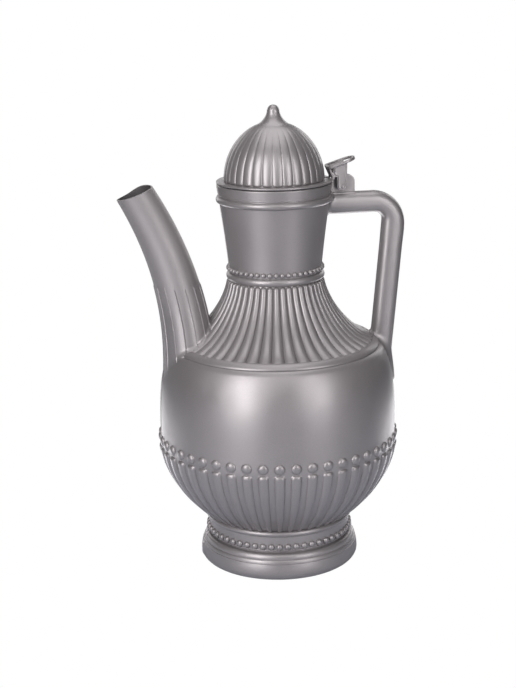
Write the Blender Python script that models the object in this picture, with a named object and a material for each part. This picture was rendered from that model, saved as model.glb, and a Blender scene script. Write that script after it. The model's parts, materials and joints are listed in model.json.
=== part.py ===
"""Plastic ewer jug with a hinged dome lid, in metres, +Z up.

The jug's axis is Z and it stands on the plane z = 0.  The spout points along -X and the
handle along +X.  The lid turns on a pin that lies along Y, behind the collar.
"""
from math import atan2, cos, hypot, pi, radians, sin, sqrt, tan

import bmesh
import bpy
from mathutils import Matrix, Vector

MM = 0.001

# Walls and clearances
WALL = 1.8 * MM
FLOOR = 2.6 * MM
WELD_GAP = 0.35 * MM
RUNNING_GAP = 0.4 * MM

# Foot and waist
FOOT_FLAT_RADIUS = 52.0 * MM
FOOT_RADIUS = 59.0 * MM
FOOT_EDGE_HEIGHT = 6.0 * MM
FOOT_TOP_RADIUS = 57.0 * MM
FOOT_HEIGHT = 18.5 * MM
WAIST_RADIUS = 52.6 * MM
WAIST_HEIGHT = 14.5 * MM
WAIST_RING = 2.2 * MM
FOOT_BEAD = 5.0 * MM
FOOT_BEAD_RISE = 6.5 * MM
FOOT_BEAD_COUNT = 54
FOOT_GROOVE = 1.8 * MM

# Share of a small bead's width by which it stands proud, and of a ring's that is its flat
BEAD_PROUD = 0.4
RING_FLAT = 0.4

# Belly, with tongues up its lower half and a row of beads above them
BELLY_RADIUS = 87.3 * MM
LOWER_BELLY_HEIGHT = 57.6 * MM
LOWER_BELLY_ROUNDNESS = 1.73
UPPER_BELLY_HEIGHT = 72.0 * MM
UPPER_BELLY_ROUNDNESS = 3.66
TONGUE_FOOT_RADIUS = 52.5 * MM
TONGUE_HEIGHT = 55.5 * MM
TONGUE_DEPTH = 1.8 * MM
TONGUE_COUNT = 46
BELLY_BEAD = 7.0 * MM
BELLY_BEAD_DEPTH = 2.2 * MM
BELLY_BEAD_RISE = 4.9 * MM

# Ribbed shoulder between the ridge and the neck
RIDGE_RADIUS = 75.0 * MM
RIDGE_WIDTH = 4.4 * MM
SHOULDER_HEIGHT = 46.8 * MM
SHOULDER_SWEEP = 1.5
RIB_DEPTH = 1.4 * MM
RIB_COUNT = 48

# Neck and collar
NECK_RADIUS = 33.4 * MM
NECK_ROOT_RADIUS = 35.5 * MM
NECK_TOP_RADIUS = 39.6 * MM
NECK_HEIGHT = 54.5 * MM
NECK_FLARE = 0.2
NECK_RING = 4.0 * MM
NECK_BEAD = 4.0 * MM
NECK_BEAD_COUNT = 46
COLLAR_RADIUS = 41.5 * MM
COLLAR_WALL = 2.9 * MM
COLLAR_HEIGHT = 12.5 * MM
COLLAR_RING_RADIUS = 42.4 * MM
COLLAR_RING = 5.0 * MM

# Lid: flange, plug that drops into the collar, ribbed dome and finial
FLANGE_OVERHANG = 0.2 * MM
FLANGE_THICKNESS = 2.7 * MM
PLUG_DEPTH = 8.0 * MM
PLUG_GAP = 1.2 * MM
LID_WALL = 1.8 * MM
DOME_SETBACK = 5.4 * MM
DOME_HEIGHT = 39.3 * MM
DOME_CROWN = 2.7 * MM
DOME_RIB_DEPTH = 0.9 * MM
DOME_RIB_COUNT = 30
FINIAL_RADIUS = 4.2 * MM
FINIAL_NECK_HEIGHT = 10.0 * MM
FINIAL_TIP_HEIGHT = 4.2 * MM
FINIAL_TIP_RADIUS = 0.6 * MM

# Spout: a bent tube from the belly up to a slanted mouth
SPOUT_ROOT_INSET = 22.5 * MM
SPOUT_ROOT_DROP = 17.0 * MM
SPOUT_ROOT_TAIL = 18.0 * MM
SPOUT_TAIL_SPLAY = 2.2 * MM
SPOUT_MOUTH_REACH = 13.1 * MM
SPOUT_MOUTH_RISE = 113.7 * MM
SPOUT_LEAN = radians(30.0)
SPOUT_MOUTH_TILT = radians(19.5)
SPOUT_ROOT_PULL = 45.0 * MM
SPOUT_MOUTH_PULL = 50.0 * MM
SPOUT_ROOT_HALF_DEPTH = 19.2 * MM
SPOUT_ROOT_HALF_WIDTH = 25.0 * MM
SPOUT_MOUTH_HALF_DEPTH = 13.6 * MM
SPOUT_MOUTH_HALF_WIDTH = 13.6 * MM
SPOUT_TAPER = 1.2
SPOUT_SILL = 6.0 * MM

# Handle: a level arm from the collar, a round corner and a limb down to the belly
ARM_DROP = 15.6 * MM
ARM_HALF_HEIGHT = 7.8 * MM
HANDLE_HALF_WIDTH = 7.5 * MM
HANDLE_OVERHANG = 8.7 * MM
HANDLE_OUTER_CORNER = 24.5 * MM
HANDLE_INNER_CORNER = 5.0 * MM
LIMB_HALF_DEPTH = 8.2 * MM
LIMB_LEAN = radians(5.5)
LIMB_KNEE_DROP = 9.0 * MM
LIMB_ROOT_DROP = 35.5 * MM
LIMB_ROOT_SPLAY = 7.2 * MM
LIMB_ROOT_HALF_DEPTH = 4.0 * MM
LIMB_ROOT_HALF_WIDTH = 4.0 * MM
HANDLE_SQUARENESS = 2.6

# Hinge lug on the arm, its pin, and the lid's thumb lever
HINGE_SETBACK = 7.7 * MM
HINGE_DROP = 3.4 * MM
LUG_THICKNESS = 7.8 * MM
LUG_REACH = 10.4 * MM
LUG_RISE = 8.4 * MM
LUG_CORNER = 5.0 * MM
PIN_RADIUS = 1.9 * MM
PIN_HEAD_RADIUS = 2.9 * MM
PIN_HEAD_HEIGHT = 1.1 * MM
PIN_CROWN_RADIUS = 1.8 * MM
PIN_HEAD_EDGE = 0.4 * MM
CHEEK_THICKNESS = 1.6 * MM
CHEEK_END_RADIUS = 3.7 * MM
CHEEK_TOP_HALF = 5.0 * MM
LEVER_RISE = 17.0 * MM
LEVER_LENGTH = 21.0 * MM
LEVER_WIDTH = 15.0 * MM
LEVER_THICKNESS = 1.8 * MM
LEVER_TILT = radians(17.5)
LEVER_SLOT_LENGTH = 16.0 * MM
LEVER_SLOT_WIDTH = 8.4 * MM
LEVER_OVERLAP = 0.6 * MM
BRACKET_WIDTH = 3.6 * MM

# Facets
PLAIN_SIDES = 48
INNER_SIDES = 32
ENVELOPE_SIDES = 96
TUBE_SIDES = 24
PIN_SIDES = 20

PLASTIC_COLOUR = (0.262, 0.246, 0.254, 1.0)
PLASTIC_ROUGHNESS = 0.38

# Radii that follow from the collar
COLLAR_BORE_RADIUS = COLLAR_RADIUS - COLLAR_WALL
FLANGE_RADIUS = COLLAR_RADIUS + FLANGE_OVERHANG
DOME_RADIUS = FLANGE_RADIUS - DOME_SETBACK

# Heights that follow from the stack of zones
WAIST_TOP = FOOT_HEIGHT + WAIST_HEIGHT
TONGUE_BOTTOM = WAIST_TOP + 2.0 * WAIST_RING
BELLY_LEVEL = TONGUE_BOTTOM + LOWER_BELLY_HEIGHT
RIDGE_LEVEL = BELLY_LEVEL + UPPER_BELLY_HEIGHT
RIDGE_FOOT = RIDGE_LEVEL - 0.5 * RIDGE_WIDTH
SHOULDER_LEVEL = RIDGE_LEVEL + 0.5 * RIDGE_WIDTH
NECK_LEVEL = SHOULDER_LEVEL + SHOULDER_HEIGHT
COLLAR_LEVEL = NECK_LEVEL + NECK_HEIGHT
RIM_LEVEL = COLLAR_LEVEL + COLLAR_HEIGHT
FLANGE_LEVEL = RIM_LEVEL + WELD_GAP
DOME_LEVEL = FLANGE_LEVEL + FLANGE_THICKNESS
ARM_LEVEL = RIM_LEVEL - ARM_DROP
HANDLE_REACH = BELLY_RADIUS + HANDLE_OVERHANG
PIVOT_X = COLLAR_RADIUS + HINGE_SETBACK
PIVOT_Z = RIM_LEVEL - HINGE_DROP
PIVOT = Vector((PIVOT_X, 0.0, PIVOT_Z))
CHEEK_INNER = 0.5 * LUG_THICKNESS + RUNNING_GAP
CHEEK_OUTER = CHEEK_INNER + CHEEK_THICKNESS


def clear_scene():
    for item in list(bpy.data.objects):
        bpy.data.objects.remove(item, do_unlink=True)


def collection(name):
    group = bpy.data.collections.new(name)
    bpy.context.scene.collection.children.link(group)
    return group


def plastic(name):
    material = bpy.data.materials.new(name)
    material.use_nodes = True
    shader = material.node_tree.nodes["Principled BSDF"]
    shader.inputs["Base Color"].default_value = PLASTIC_COLOUR
    shader.inputs["Roughness"].default_value = PLASTIC_ROUGHNESS
    shader.inputs["Metallic"].default_value = 0.35
    return material


def finish(bm, name, group, origin=None):
    """Turn a bmesh into an object, with its origin at the given point."""
    bmesh.ops.recalc_face_normals(bm, faces=bm.faces)
    if origin is not None:
        bmesh.ops.translate(bm, verts=bm.verts, vec=-origin)
    mesh = bpy.data.meshes.new(name)
    bm.to_mesh(mesh)
    bm.free()
    mesh.shade_smooth()
    mesh.set_sharp_from_angle(angle=radians(40.0))
    item = bpy.data.objects.new(name, mesh)
    group.objects.link(item)
    if origin is not None:
        item.location = origin
    return item


def part(bm, name, group, origin=None):
    item = finish(bm, name, group, origin)
    item.data.materials.append(plastic(name + "_plastic"))
    return item


def cutter(bm, name, group):
    item = finish(bm, name, group)
    item.hide_render = True
    item.display_type = "WIRE"
    return item


def combine(item, tool, operation):
    step = item.modifiers.new(operation.lower() + "_" + tool.name, "BOOLEAN")
    step.operation = operation
    step.solver = "EXACT"
    step.object = tool


def offset(points, distance):
    """Move a profile of (radius, height) points sideways, outwards where it climbs."""
    moved = []
    for index, (radius, height) in enumerate(points):
        before = points[max(index - 1, 0)]
        after = points[min(index + 1, len(points) - 1)]
        run = after[0] - before[0]
        rise = after[1] - before[1]
        length = hypot(run, rise)
        moved.append((radius + distance * rise / length, height - distance * run / length))
    return moved


def station(sides, crest, valley=None):
    return sides, crest, valley or crest


def plain(points, sides=PLAIN_SIDES):
    return [station(sides, point) for point in points]


def relief(crests, valleys, count):
    """Rings whose points lie on the crests and in the valleys by turns."""
    return [station(2 * count, crest, valley) for crest, valley in zip(crests, valleys)]


def ring(bm, sides, crest, valley):
    """A closed ring with a crest half a pitch past +X, so that +X and -X lie in valleys."""
    verts = []
    for index in range(sides):
        radius, height = valley if index % 2 else crest
        angle = 2.0 * pi * (index + 1) / sides
        verts.append(bm.verts.new((radius * cos(angle), radius * sin(angle), height)))
    return verts


def stitch(bm, first, second):
    """Join two rings, which may have unlike counts, with a strip of faces."""
    a_count = len(first)
    b_count = len(second)
    if a_count == b_count:
        for index in range(a_count):
            after = (index + 1) % a_count
            bm.faces.new((first[index], first[after], second[after], second[index]))
        return
    a = 0
    b = 0
    while a < a_count or b < b_count:
        a_turn = (a + 2) / a_count if a < a_count else 3.0
        b_turn = (b + 2) / b_count if b < b_count else 3.0
        if a_turn <= b_turn:
            bm.faces.new((first[a % a_count], first[(a + 1) % a_count], second[b % b_count]))
            a += 1
        else:
            bm.faces.new((first[a % a_count], second[(b + 1) % b_count], second[b % b_count]))
            b += 1


def skin(bm, rings):
    """Close a run of rings into one body, with a flat cap at each end."""
    for first, second in zip(rings, rings[1:]):
        stitch(bm, first, second)
    bm.faces.new(list(reversed(rings[0])))
    bm.faces.new(rings[-1])


def turned(stations):
    bm = bmesh.new()
    skin(bm, [ring(bm, *item) for item in stations])
    return bm


def quarter(start, end, steps, level_start):
    """Quarter of an ellipse between two profile points, leaving level or upright."""
    points = []
    for step in range(steps + 1):
        turn = 0.5 * pi * step / steps
        along = sin(turn)
        across = 1.0 - cos(turn)
        if not level_start:
            along, across = across, along
        points.append((start[0] + (end[0] - start[0]) * along, start[1] + (end[1] - start[1]) * across))
    return points


def half_round(level, width, low_radius, top_radius, high_radius):
    """Four points of a small half-round ring."""
    flat = 0.5 * RING_FLAT * width
    return [
        (low_radius, level - 0.5 * width),
        (top_radius, level - flat),
        (top_radius, level + flat),
        (high_radius, level + 0.5 * width),
    ]


def belly_radius(height):
    """Radius of the plain belly, a superellipse that is fullest at BELLY_LEVEL."""
    if height < BELLY_LEVEL:
        end_radius = TONGUE_FOOT_RADIUS
        share = (BELLY_LEVEL - height) / LOWER_BELLY_HEIGHT
        power = LOWER_BELLY_ROUNDNESS
    else:
        end_radius = RIDGE_RADIUS
        share = (height - BELLY_LEVEL) / UPPER_BELLY_HEIGHT
        power = UPPER_BELLY_ROUNDNESS
    loss = 1.0 - (end_radius / BELLY_RADIUS) ** power
    return BELLY_RADIUS * (1.0 - loss * share ** power) ** (1.0 / power)


def belly_points(low, high, steps):
    heights = [low + (high - low) * step / steps for step in range(steps + 1)]
    return [(belly_radius(height), height) for height in heights]


def sweep(start, end, steps):
    """Hollow sweep that leaves level at its foot and ends upright, as a superellipse."""
    power = 2.0 / SHOULDER_SWEEP
    points = []
    for step in range(steps + 1):
        turn = 0.5 * pi * step / steps
        across = sin(turn) ** power
        below = cos(turn) ** power
        points.append((start[0] + (end[0] - start[0]) * across, end[1] + (start[1] - end[1]) * below))
    return points


def neck_points(steps):
    """The neck opens upwards from above its beads to the collar ring."""
    low = NECK_LEVEL + NECK_RING + NECK_BEAD
    high = COLLAR_LEVEL
    points = []
    for step in range(steps + 1):
        share = step / steps
        swell = (1.0 - NECK_FLARE) * share + NECK_FLARE * share ** 2
        points.append((NECK_RADIUS + (NECK_TOP_RADIUS - NECK_RADIUS) * swell, low + (high - low) * share))
    return points


def foot_points():
    edge = (FOOT_RADIUS, FOOT_EDGE_HEIGHT)
    points = quarter((FOOT_FLAT_RADIUS, 0.0), edge, 4, True)
    points += quarter(edge, (FOOT_TOP_RADIUS, FOOT_HEIGHT), 3, False)[1:]
    return points


def bead_row(level, size, depth, base_radius, count):
    """Three rings, of which the middle one stands out at each bead."""
    low, high = level - 0.5 * size, level + 0.5 * size
    points = [(base_radius(low), low), (base_radius(level), level), (base_radius(high), high)]
    crests = [points[0], (points[1][0] + depth, level), points[2]]
    return relief(crests, points, count)


def tongue_stations():
    valleys = belly_points(TONGUE_BOTTOM, TONGUE_BOTTOM + TONGUE_HEIGHT, 6)
    crests = offset(valleys, TONGUE_DEPTH)
    return relief(crests, valleys, TONGUE_COUNT)


def rib_stations():
    start = (RIDGE_RADIUS - 0.5 * RIDGE_WIDTH, SHOULDER_LEVEL)
    crests = sweep(start, (NECK_ROOT_RADIUS, NECK_LEVEL), 8)[1:-1]
    return relief(crests, offset(crests, -RIB_DEPTH), RIB_COUNT)


def outer_stations():
    """Outside of the vessel, from its base up to the rim."""
    tongue_top = TONGUE_BOTTOM + TONGUE_HEIGHT
    bead_level = tongue_top + BELLY_BEAD_RISE
    bead_top = bead_level + 0.5 * BELLY_BEAD
    ridge = half_round(RIDGE_LEVEL, RIDGE_WIDTH, RIDGE_RADIUS, RIDGE_RADIUS + 0.3 * RIDGE_WIDTH,
                       RIDGE_RADIUS - 0.5 * RIDGE_WIDTH)
    waist_ring = half_round(WAIST_TOP + WAIST_RING, 2.0 * WAIST_RING, WAIST_RADIUS,
                            WAIST_RADIUS + WAIST_RING, TONGUE_FOOT_RADIUS)
    neck_ring = half_round(NECK_LEVEL + 0.5 * NECK_RING, NECK_RING, NECK_ROOT_RADIUS - RIB_DEPTH,
                           NECK_ROOT_RADIUS + 0.2 * NECK_RING, NECK_RADIUS + 0.1 * NECK_RING)
    collar_ring = half_round(COLLAR_LEVEL + 0.5 * COLLAR_RING, COLLAR_RING, NECK_TOP_RADIUS,
                             COLLAR_RING_RADIUS, COLLAR_RADIUS - 0.2 * COLLAR_RING)
    stations = plain(foot_points())
    stations += plain([(WAIST_RADIUS, FOOT_HEIGHT + FOOT_GROOVE)])
    stations += bead_row(FOOT_HEIGHT + FOOT_BEAD_RISE, FOOT_BEAD, BEAD_PROUD * FOOT_BEAD,
                         lambda height: WAIST_RADIUS, FOOT_BEAD_COUNT)
    stations += plain(waist_ring[:-1])
    stations += tongue_stations()
    stations += bead_row(bead_level, BELLY_BEAD, BELLY_BEAD_DEPTH, belly_radius, TONGUE_COUNT)
    stations += plain(belly_points(bead_top, RIDGE_FOOT, 7)[1:-1])
    stations += plain(ridge)
    stations += rib_stations()
    stations += plain(neck_ring)
    stations += bead_row(NECK_LEVEL + NECK_RING + 0.5 * NECK_BEAD, NECK_BEAD, BEAD_PROUD * NECK_BEAD,
                         lambda height: NECK_RADIUS, NECK_BEAD_COUNT)
    stations += plain(neck_points(4)[1:])
    stations += plain(collar_ring[1:])
    stations += plain([(COLLAR_RADIUS, RIM_LEVEL)])
    return stations


def inner_points():
    """Inside of the vessel, from the rim down to the floor."""
    neck = offset(neck_points(3), -WALL)
    ribs = offset([item[2] for item in rib_stations()], -WALL)
    belly = belly_points(TONGUE_BOTTOM, RIDGE_FOOT, 8)[:-1] + [(RIDGE_RADIUS, RIDGE_FOOT)]
    belly = offset(belly, -WALL)
    waist = [(WAIST_RADIUS - WALL, WAIST_TOP), (WAIST_RADIUS - WALL, FOOT_HEIGHT + FOOT_GROOVE)]
    foot = [(FOOT_TOP_RADIUS - WALL, FOOT_HEIGHT - WALL), (FOOT_RADIUS - WALL, FOOT_EDGE_HEIGHT + WALL)]
    floor = [(FOOT_FLAT_RADIUS, FLOOR)]
    collar = [(COLLAR_BORE_RADIUS, RIM_LEVEL), (COLLAR_BORE_RADIUS, COLLAR_LEVEL + 0.5 * COLLAR_RING)]
    return collar + neck[::-1] + ribs[::-1] + belly[::-1] + waist + foot + floor


def body_shell(group):
    return part(turned(outer_stations() + plain(inner_points(), INNER_SIDES)), "body_shell", group)


def envelope(group):
    """Outside of the vessel grown by the weld gap, to trim what is welded on to it."""
    points = offset([item[1] for item in outer_stations()], WELD_GAP)
    grow = 1.0 / cos(pi / ENVELOPE_SIDES)
    points = [(radius * grow, height) for radius, height in points]
    return cutter(turned(plain(points, ENVELOPE_SIDES)), "vessel_envelope", group)


def spread(turn, power):
    """Cosine and sine of a superellipse, which is square for a large power."""
    across = abs(cos(turn)) ** (2.0 / power)
    aside = abs(sin(turn)) ** (2.0 / power)
    return across if cos(turn) >= 0.0 else -across, aside if sin(turn) >= 0.0 else -aside


def section(bm, centre, lean, half_depth, half_width, power=2.0):
    """Ring round a path in the XZ plane; lean is how far its normal tips from +Z to -X."""
    outwards = Vector((cos(lean), 0.0, sin(lean)))
    verts = []
    for index in range(TUBE_SIDES):
        across, aside = spread(2.0 * pi * index / TUBE_SIDES, power)
        point = centre + outwards * (half_depth * across) + Vector((0.0, half_width * aside, 0.0))
        verts.append(bm.verts.new(point))
    return verts


def spout_path(share):
    """Point and lean of the spout's axis, from 0 at the root to 1 at the mouth."""
    root = Vector((SPOUT_ROOT_INSET - BELLY_RADIUS, 0.0, RIDGE_LEVEL - SPOUT_ROOT_DROP))
    mouth = Vector((-BELLY_RADIUS - SPOUT_MOUTH_REACH, 0.0, RIDGE_LEVEL + SPOUT_MOUTH_RISE))
    rise = root + Vector((0.0, 0.0, SPOUT_ROOT_PULL))
    fall = mouth + Vector((sin(SPOUT_LEAN), 0.0, -cos(SPOUT_LEAN))) * SPOUT_MOUTH_PULL
    rest = 1.0 - share
    point = root * rest ** 3 + rise * (3 * rest ** 2 * share) + fall * (3 * rest * share ** 2)
    point += mouth * share ** 3
    slope = (rise - root) * rest ** 2 + (fall - rise) * (2 * rest * share) + (mouth - fall) * share ** 2
    lean = Vector((0.0, 1.0)).angle_signed(Vector((-slope.x, slope.z)))
    return point, lean


def spout_size(share, inset):
    taper = (1.0 - share) ** SPOUT_TAPER
    depth = SPOUT_MOUTH_HALF_DEPTH + (SPOUT_ROOT_HALF_DEPTH - SPOUT_MOUTH_HALF_DEPTH) * taper
    width = SPOUT_MOUTH_HALF_WIDTH + (SPOUT_ROOT_HALF_WIDTH - SPOUT_MOUTH_HALF_WIDTH) * taper
    return depth - inset, width - inset


def spout_sections(bm, start, inset, steps=10):
    """Rings up the spout; the last ones turn from square to the axis to the mouth's tilt."""
    rings = []
    for step in range(steps + 1):
        share = start + (1.0 - start) * step / steps
        point, lean = spout_path(share)
        lean += (SPOUT_MOUTH_TILT - lean) * max(0.0, 3.0 * share - 2.0)
        rings.append(section(bm, point, lean, *spout_size(share, inset)))
    return rings


def spout(group, cutters, vessel):
    bm = bmesh.new()
    root = spout_path(0.0)[0] - Vector((SPOUT_TAIL_SPLAY, 0.0, SPOUT_ROOT_TAIL))
    tail = section(bm, root, 0.0, *spout_size(0.0, 0.0))
    skin(bm, [tail] + spout_sections(bm, 0.0, 0.0))
    item = part(bm, "spout", group)
    bm = bmesh.new()
    start = SPOUT_SILL / (3.0 * SPOUT_ROOT_PULL)
    beyond = spout_path(1.0)[0] + Vector((-sin(SPOUT_LEAN), 0.0, cos(SPOUT_LEAN))) * (3.0 * WALL)
    rings = spout_sections(bm, start, WALL)
    rings.append(section(bm, beyond, SPOUT_MOUTH_TILT, *spout_size(1.0, WALL)))
    skin(bm, rings)
    bore = cutter(bm, "spout_bore", cutters)
    combine(item, vessel, "DIFFERENCE")
    combine(item, bore, "DIFFERENCE")
    return item, bore


def between(inner, outer):
    """Centre, lean and half depth of a section that spans two (x, z) points."""
    run = outer[0] - inner[0]
    rise = outer[1] - inner[1]
    centre = (inner[0] + 0.5 * run, inner[1] + 0.5 * rise)
    return centre, atan2(rise, run), 0.5 * hypot(run, rise)


def handle_corner(bends):
    """Sections round the corner, whose outer and inner arcs have centres of their own."""
    outer_x = HANDLE_REACH - HANDLE_OUTER_CORNER
    outer_z = ARM_LEVEL + ARM_HALF_HEIGHT - HANDLE_OUTER_CORNER
    inner_x = HANDLE_REACH - 2.0 * LIMB_HALF_DEPTH - HANDLE_INNER_CORNER
    inner_z = ARM_LEVEL - ARM_HALF_HEIGHT - HANDLE_INNER_CORNER
    spans = []
    for step in range(bends + 1):
        turn = (0.5 * pi + LIMB_LEAN) * step / bends
        outer = (outer_x + HANDLE_OUTER_CORNER * sin(turn), outer_z + HANDLE_OUTER_CORNER * cos(turn))
        inner = (inner_x + HANDLE_INNER_CORNER * sin(turn), inner_z + HANDLE_INNER_CORNER * cos(turn))
        spans.append(between(inner, outer))
    return spans


def limb_x(height):
    """Where the axis of the limb lies at a height, on its straight run."""
    top = ARM_LEVEL + ARM_HALF_HEIGHT - HANDLE_OUTER_CORNER
    return HANDLE_REACH - LIMB_HALF_DEPTH - (top - height) * tan(LIMB_LEAN)


def handle_stations():
    """Centre, lean and half sizes along the handle, from the collar to its root on the belly."""
    stations = [((COLLAR_BORE_RADIUS, ARM_LEVEL), 0.5 * pi, ARM_HALF_HEIGHT, HANDLE_HALF_WIDTH)]
    for centre, lean, depth in handle_corner(7):
        stations.append((centre, lean, depth, HANDLE_HALF_WIDTH))
    knee = RIDGE_LEVEL - LIMB_KNEE_DROP
    fall = LIMB_ROOT_DROP - LIMB_KNEE_DROP
    top = stations[-1][0][1]
    for share in (0.3, 0.65, 1.0):
        height = top + (knee - top) * share
        stations.append(((limb_x(height), height), -LIMB_LEAN, LIMB_HALF_DEPTH, HANDLE_HALF_WIDTH))
    for share in (0.3, 0.55, 0.8, 1.0):
        taper = share ** 3
        centre = (limb_x(knee) + LIMB_ROOT_SPLAY * share ** 2, knee - fall * share)
        lean = atan2(2.0 * LIMB_ROOT_SPLAY * share, fall) - LIMB_LEAN * (1.0 - share)
        depth = LIMB_HALF_DEPTH + (LIMB_ROOT_HALF_DEPTH - LIMB_HALF_DEPTH) * taper
        width = HANDLE_HALF_WIDTH + (LIMB_ROOT_HALF_WIDTH - HANDLE_HALF_WIDTH) * taper
        stations.append((centre, lean, depth, width))
    return stations


def handle(group, vessel):
    bm = bmesh.new()
    rings = [section(bm, Vector((centre[0], 0.0, centre[1])), lean, depth, width, HANDLE_SQUARENESS)
             for centre, lean, depth, width in handle_stations()]
    skin(bm, rings)
    item = part(bm, "handle", group)
    combine(item, vessel, "DIFFERENCE")
    return item


def arc(centre, radius, start, end, steps):
    """Points (x, z) on an arc, by angles measured from +X towards +Z."""
    angles = [start + (end - start) * step / steps for step in range(steps + 1)]
    return [(centre[0] + radius * cos(angle), centre[1] + radius * sin(angle)) for angle in angles]


def plate(bm, outline, near, far):
    """Flat plate with an outline of (x, z) points, between two values of y."""
    face = bm.faces.new([bm.verts.new((x, near, z)) for x, z in outline])
    grown = bmesh.ops.extrude_face_region(bm, geom=[face])
    verts = [item for item in grown["geom"] if isinstance(item, bmesh.types.BMVert)]
    bmesh.ops.translate(bm, verts=verts, vec=(0.0, far - near, 0.0))


def along_y(stations):
    """Turned piece whose axis lies along Y through the hinge."""
    bm = turned(plain(stations, PIN_SIDES))
    bmesh.ops.rotate(bm, verts=bm.verts, matrix=Matrix.Rotation(-0.5 * pi, 3, "X"))
    bmesh.ops.translate(bm, verts=bm.verts, vec=PIVOT)
    return bm


def pin_hole(group):
    radius = PIN_RADIUS + WELD_GAP
    half = CHEEK_OUTER + CHEEK_THICKNESS
    return cutter(along_y([(radius, -half), (radius, half)]), "pin_hole", group)


def hinge_lug(group, vessel, hole):
    bm = bmesh.new()
    bottom = ARM_LEVEL + ARM_HALF_HEIGHT + WELD_GAP
    top = PIVOT_Z + LUG_RISE
    right = PIVOT_X + LUG_REACH
    left = max(COLLAR_RADIUS, FLANGE_RADIUS) + WELD_GAP
    outline = [(left, bottom), (right, bottom)]
    outline += arc((right - LUG_CORNER, top - LUG_CORNER), LUG_CORNER, 0.0, 0.5 * pi, 5)
    outline += [(left, top)]
    plate(bm, outline, -0.5 * LUG_THICKNESS, 0.5 * LUG_THICKNESS)
    item = part(bm, "hinge_lug", group)
    combine(item, vessel, "DIFFERENCE")
    combine(item, hole, "DIFFERENCE")
    return item


def hinge_pin(group):
    shoulder = CHEEK_OUTER + WELD_GAP
    end = shoulder + PIN_HEAD_HEIGHT
    half = [(PIN_RADIUS, shoulder), (PIN_HEAD_RADIUS, shoulder),
            (PIN_HEAD_RADIUS, shoulder + PIN_HEAD_EDGE), (PIN_CROWN_RADIUS, end)]
    stations = [(radius, -reach) for radius, reach in reversed(half)] + half
    return part(along_y(stations), "hinge_pin", group, PIVOT)


def dome_radius(rise):
    """Radius of the dome, an ellipse whose crown gives way to the finial."""
    return DOME_RADIUS * sqrt(1.0 - (rise / (DOME_HEIGHT + DOME_CROWN)) ** 2)


def dome_points(steps):
    heights = [DOME_HEIGHT * sin(0.5 * pi * step / steps) for step in range(steps + 1)]
    return [(dome_radius(height), DOME_LEVEL + height) for height in heights]


def lid(group, cutters):
    plug_radius = COLLAR_BORE_RADIUS - PLUG_GAP
    plug_bottom = FLANGE_LEVEL - PLUG_DEPTH
    crests = dome_points(8)
    valleys = offset(crests, -DOME_RIB_DEPTH)
    inside = offset(valleys, -LID_WALL)[::-1]
    stations = plain([(FINIAL_RADIUS, inside[0][1])] + inside[:-1], INNER_SIDES)
    stations += plain([(plug_radius - LID_WALL, FLANGE_LEVEL), (plug_radius - LID_WALL, plug_bottom)])
    stations += plain([(plug_radius, plug_bottom), (plug_radius, FLANGE_LEVEL)])
    stations += plain([(FLANGE_RADIUS, FLANGE_LEVEL), (FLANGE_RADIUS, DOME_LEVEL)])
    stations += relief(crests[:-1], valleys[:-1], DOME_RIB_COUNT)
    finial_top = crests[-1][1] + FINIAL_NECK_HEIGHT
    stations += plain(sweep(crests[-1], (FINIAL_RADIUS, finial_top), 5), INNER_SIDES)
    tip = (FINIAL_TIP_RADIUS, finial_top + FINIAL_TIP_HEIGHT)
    stations += plain(quarter((FINIAL_RADIUS, finial_top), tip, 4, False)[1:], INNER_SIDES)
    item = part(turned(stations), "lid", group, PIVOT)
    bm = bmesh.new()
    reach = hypot(max(LUG_REACH, HINGE_SETBACK), LUG_RISE) + RUNNING_GAP
    left = min(PIVOT_X - reach, FLANGE_RADIUS - WALL)
    bottom = FLANGE_LEVEL - WALL
    outline = [(left, bottom), (PIVOT_X, bottom), (PIVOT_X, DOME_LEVEL + WALL), (left, DOME_LEVEL + WALL)]
    half = 0.5 * LUG_THICKNESS + RUNNING_GAP
    plate(bm, outline, -half, half)
    combine(item, cutter(bm, "lug_notch", cutters), "DIFFERENCE")
    return item


def lever_point(along, above):
    """Point (x, z) in the thumb loop's tilted frame, whose origin is over the pivot."""
    x = PIVOT_X + along * cos(LEVER_TILT) - above * sin(LEVER_TILT)
    z = PIVOT_Z + LEVER_RISE + along * sin(LEVER_TILT) + above * cos(LEVER_TILT)
    return x, z


def cheek_outline():
    """Round end on the pin, widening up to the thumb loop, with a leg back to the flange."""
    foot_left = DOME_RADIUS + RUNNING_GAP
    foot_level = DOME_LEVEL + WELD_GAP
    under = -0.5 * LEVER_THICKNESS + LEVER_OVERLAP
    loop_left = foot_left - PIVOT_X
    outline = arc((PIVOT_X, PIVOT_Z), CHEEK_END_RADIUS, -pi, 0.0, 8)
    outline += [lever_point(CHEEK_TOP_HALF, under), lever_point(loop_left, under)]
    outline += [(foot_left, foot_level), (foot_left + BRACKET_WIDTH, foot_level)]
    outline += [(foot_left + BRACKET_WIDTH, 0.5 * (foot_level + PIVOT_Z + LEVER_RISE))]
    outline += [(PIVOT_X - CHEEK_END_RADIUS, 0.5 * (foot_level + PIVOT_Z + LEVER_RISE))]
    return outline


def loop_plate(bm, length, width, low, high):
    """Plate lying in the thumb loop's frame, round at its free end and square over the lid."""
    outline = [(-0.5 * length, 0.5 * width), (-0.5 * length, -0.5 * width)]
    for step in range(13):
        turn = -0.5 * pi + pi * step / 12
        outline.append((0.5 * (length - width) + 0.5 * width * cos(turn), 0.5 * width * sin(turn)))
    rings = []
    for above in (low, high):
        corners = [lever_point(along, above) for along, aside in outline]
        rings.append([bm.verts.new((x, aside, z)) for (x, z), (along, aside) in zip(corners, outline)])
    skin(bm, rings)


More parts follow.
